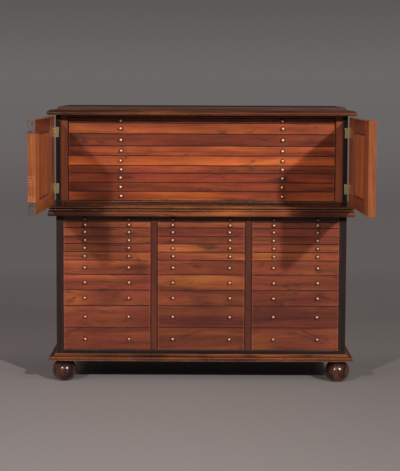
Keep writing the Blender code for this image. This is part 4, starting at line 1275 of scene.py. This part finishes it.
def make_hinges(hand, side):
    """Fixed halves of a door's hinges: leaf on the case's edge, two knuckles and screws."""
    x, y = joint(f"{hand}_door_swing")["pos_m"][:2]
    half, gap = HINGE_HEIGHT / 2, HINGE_HEIGHT / KNUCKLES / 2 + KNUCKLE_GAP / 2
    bed, proud = FRONT_Y + LEAF_THICKNESS, FRONT_Y - LEAF_PROUD
    for end in ("lower", "upper"):
        node = f"{hand}_{end}_hinge"
        low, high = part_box(node)
        middle = (low.z + high.z) / 2
        piece = Piece(node + "_leaf", HINGE_BRASS)
        piece.board((side * HALF_WIDTH, proud, middle - half),
                    (side * (HALF_WIDTH - LEAF_WIDTH), bed, middle + half), "z", arris=LEAF_ARRIS)
        for bottom, top in ((middle - half, middle - gap), (middle + gap, middle + half)):
            piece.board((x - side * WEB_START, FRONT_Y, bottom),
                        (side * (HALF_WIDTH - LEAF_PROUD), bed, top), "z", arris=WEB_ARRIS)
            add_barrel(piece, (x, y), bottom, top)
        settle(piece.make(ROUND_SHADING), "carcass", "brass", node)
        screws = fit_screws(node, side * (HALF_WIDTH - LEAF_WIDTH * SCREW_PLACE), proud, [middle], 0.0)
        settle(screws, "carcass", "brass")


def make_stage():
    """Plain pale floor that fades into the grey of the studio."""
    bpy.ops.mesh.primitive_circle_add(vertices=96, radius=FLOOR_RADIUS, fill_type="NGON")
    floor = bpy.context.object
    floor.name = "floor"
    make = Finish(bpy.data.materials.new("studio_floor"))
    place = make.add("ShaderNodeTexCoord", out="Object")
    distance = make.add("ShaderNodeVectorMath", {"operation": "LENGTH"}, {0: place}, out="Value")
    across, back, _ = make.split(place)
    colour = make.mix(make.ease(back, *FLOOR_DEPTHWAYS), FLOOR_NEAR, FLOOR_FAR)
    # The right side is darkened as painted shade where the light falls off
    colour = make.mix(make.ease(across, *FLOOR_CROSSWAYS), colour, FLOOR_RIGHT_SHADE, "MULTIPLY")
    alpha = 1 - make.ease(distance, *FLOOR_FADE)
    floor.data.materials.append(make.shade({"Base Color": colour, "Roughness": FLOOR_ROUGHNESS,
                                             "Alpha": alpha}))


def make_backdrop():
    """Grey of the studio behind the cabinet."""
    make = Finish(bpy.data.worlds.new("studio"), "Background")
    _, _, height = make.split(make.add("ShaderNodeTexCoord", out="Generated"))
    low, high = BACKDROP_SPAN
    share = make.add("ShaderNodeMapRange", sockets={0: height, 1: low, 2: high})
    bpy.context.scene.world = make.shade({"Color": make.ramp(share, BACKDROP)})


def make_lights():
    """The studio's lights, which the camera doesn't see."""
    for name, (place, size, power, colour, mirrored) in LIGHTS.items():
        lamp = bpy.data.lights.new(name, "AREA")
        lamp.shape = "DISK"
        lamp.size = size
        lamp.energy = power
        lamp.color = colour
        light = bpy.data.objects.new(name, lamp)
        light.location = place
        light.rotation_euler = (LIGHT_AIM - Vector(place)).to_track_quat("-Z", "Y").to_euler()
        light.visible_camera = False
        light.visible_glossy = mirrored
        bpy.context.scene.collection.objects.link(light)


def make_camera():
    """Camera at the photograph's angle."""
    data = bpy.data.cameras.new("camera")
    data.sensor_width = SENSOR
    data.lens = FOCAL_LENGTH_PIXELS * SENSOR / IMAGE_HEIGHT
    camera = bpy.data.objects.new("camera", data)
    camera.matrix_world = (Matrix.Translation((CAMERA_X, FRONT_Y - CAMERA_DISTANCE, CAMERA_HEIGHT))
                           @ Matrix.Rotation(math.pi / 2 - CAMERA_PITCH, 4, "X")
                           @ Matrix.Rotation(CAMERA_ROLL, 4, "Z"))
    bpy.context.scene.collection.objects.link(camera)
    bpy.context.scene.camera = camera
    bpy.context.scene.view_settings.view_transform = "Standard"


make_camera()
make_stage()
make_backdrop()
make_lights()
make_cornice()
make_waist()
make_base()
make_sides()
make_partitions()
make_back()
make_feet()
make_drawers()
for hand, side in HANDS.items():
    make_door(hand, side)
    make_hinges(hand, side)
for fitting in (KNOB, SCREW):
    bpy.data.objects.remove(fitting)
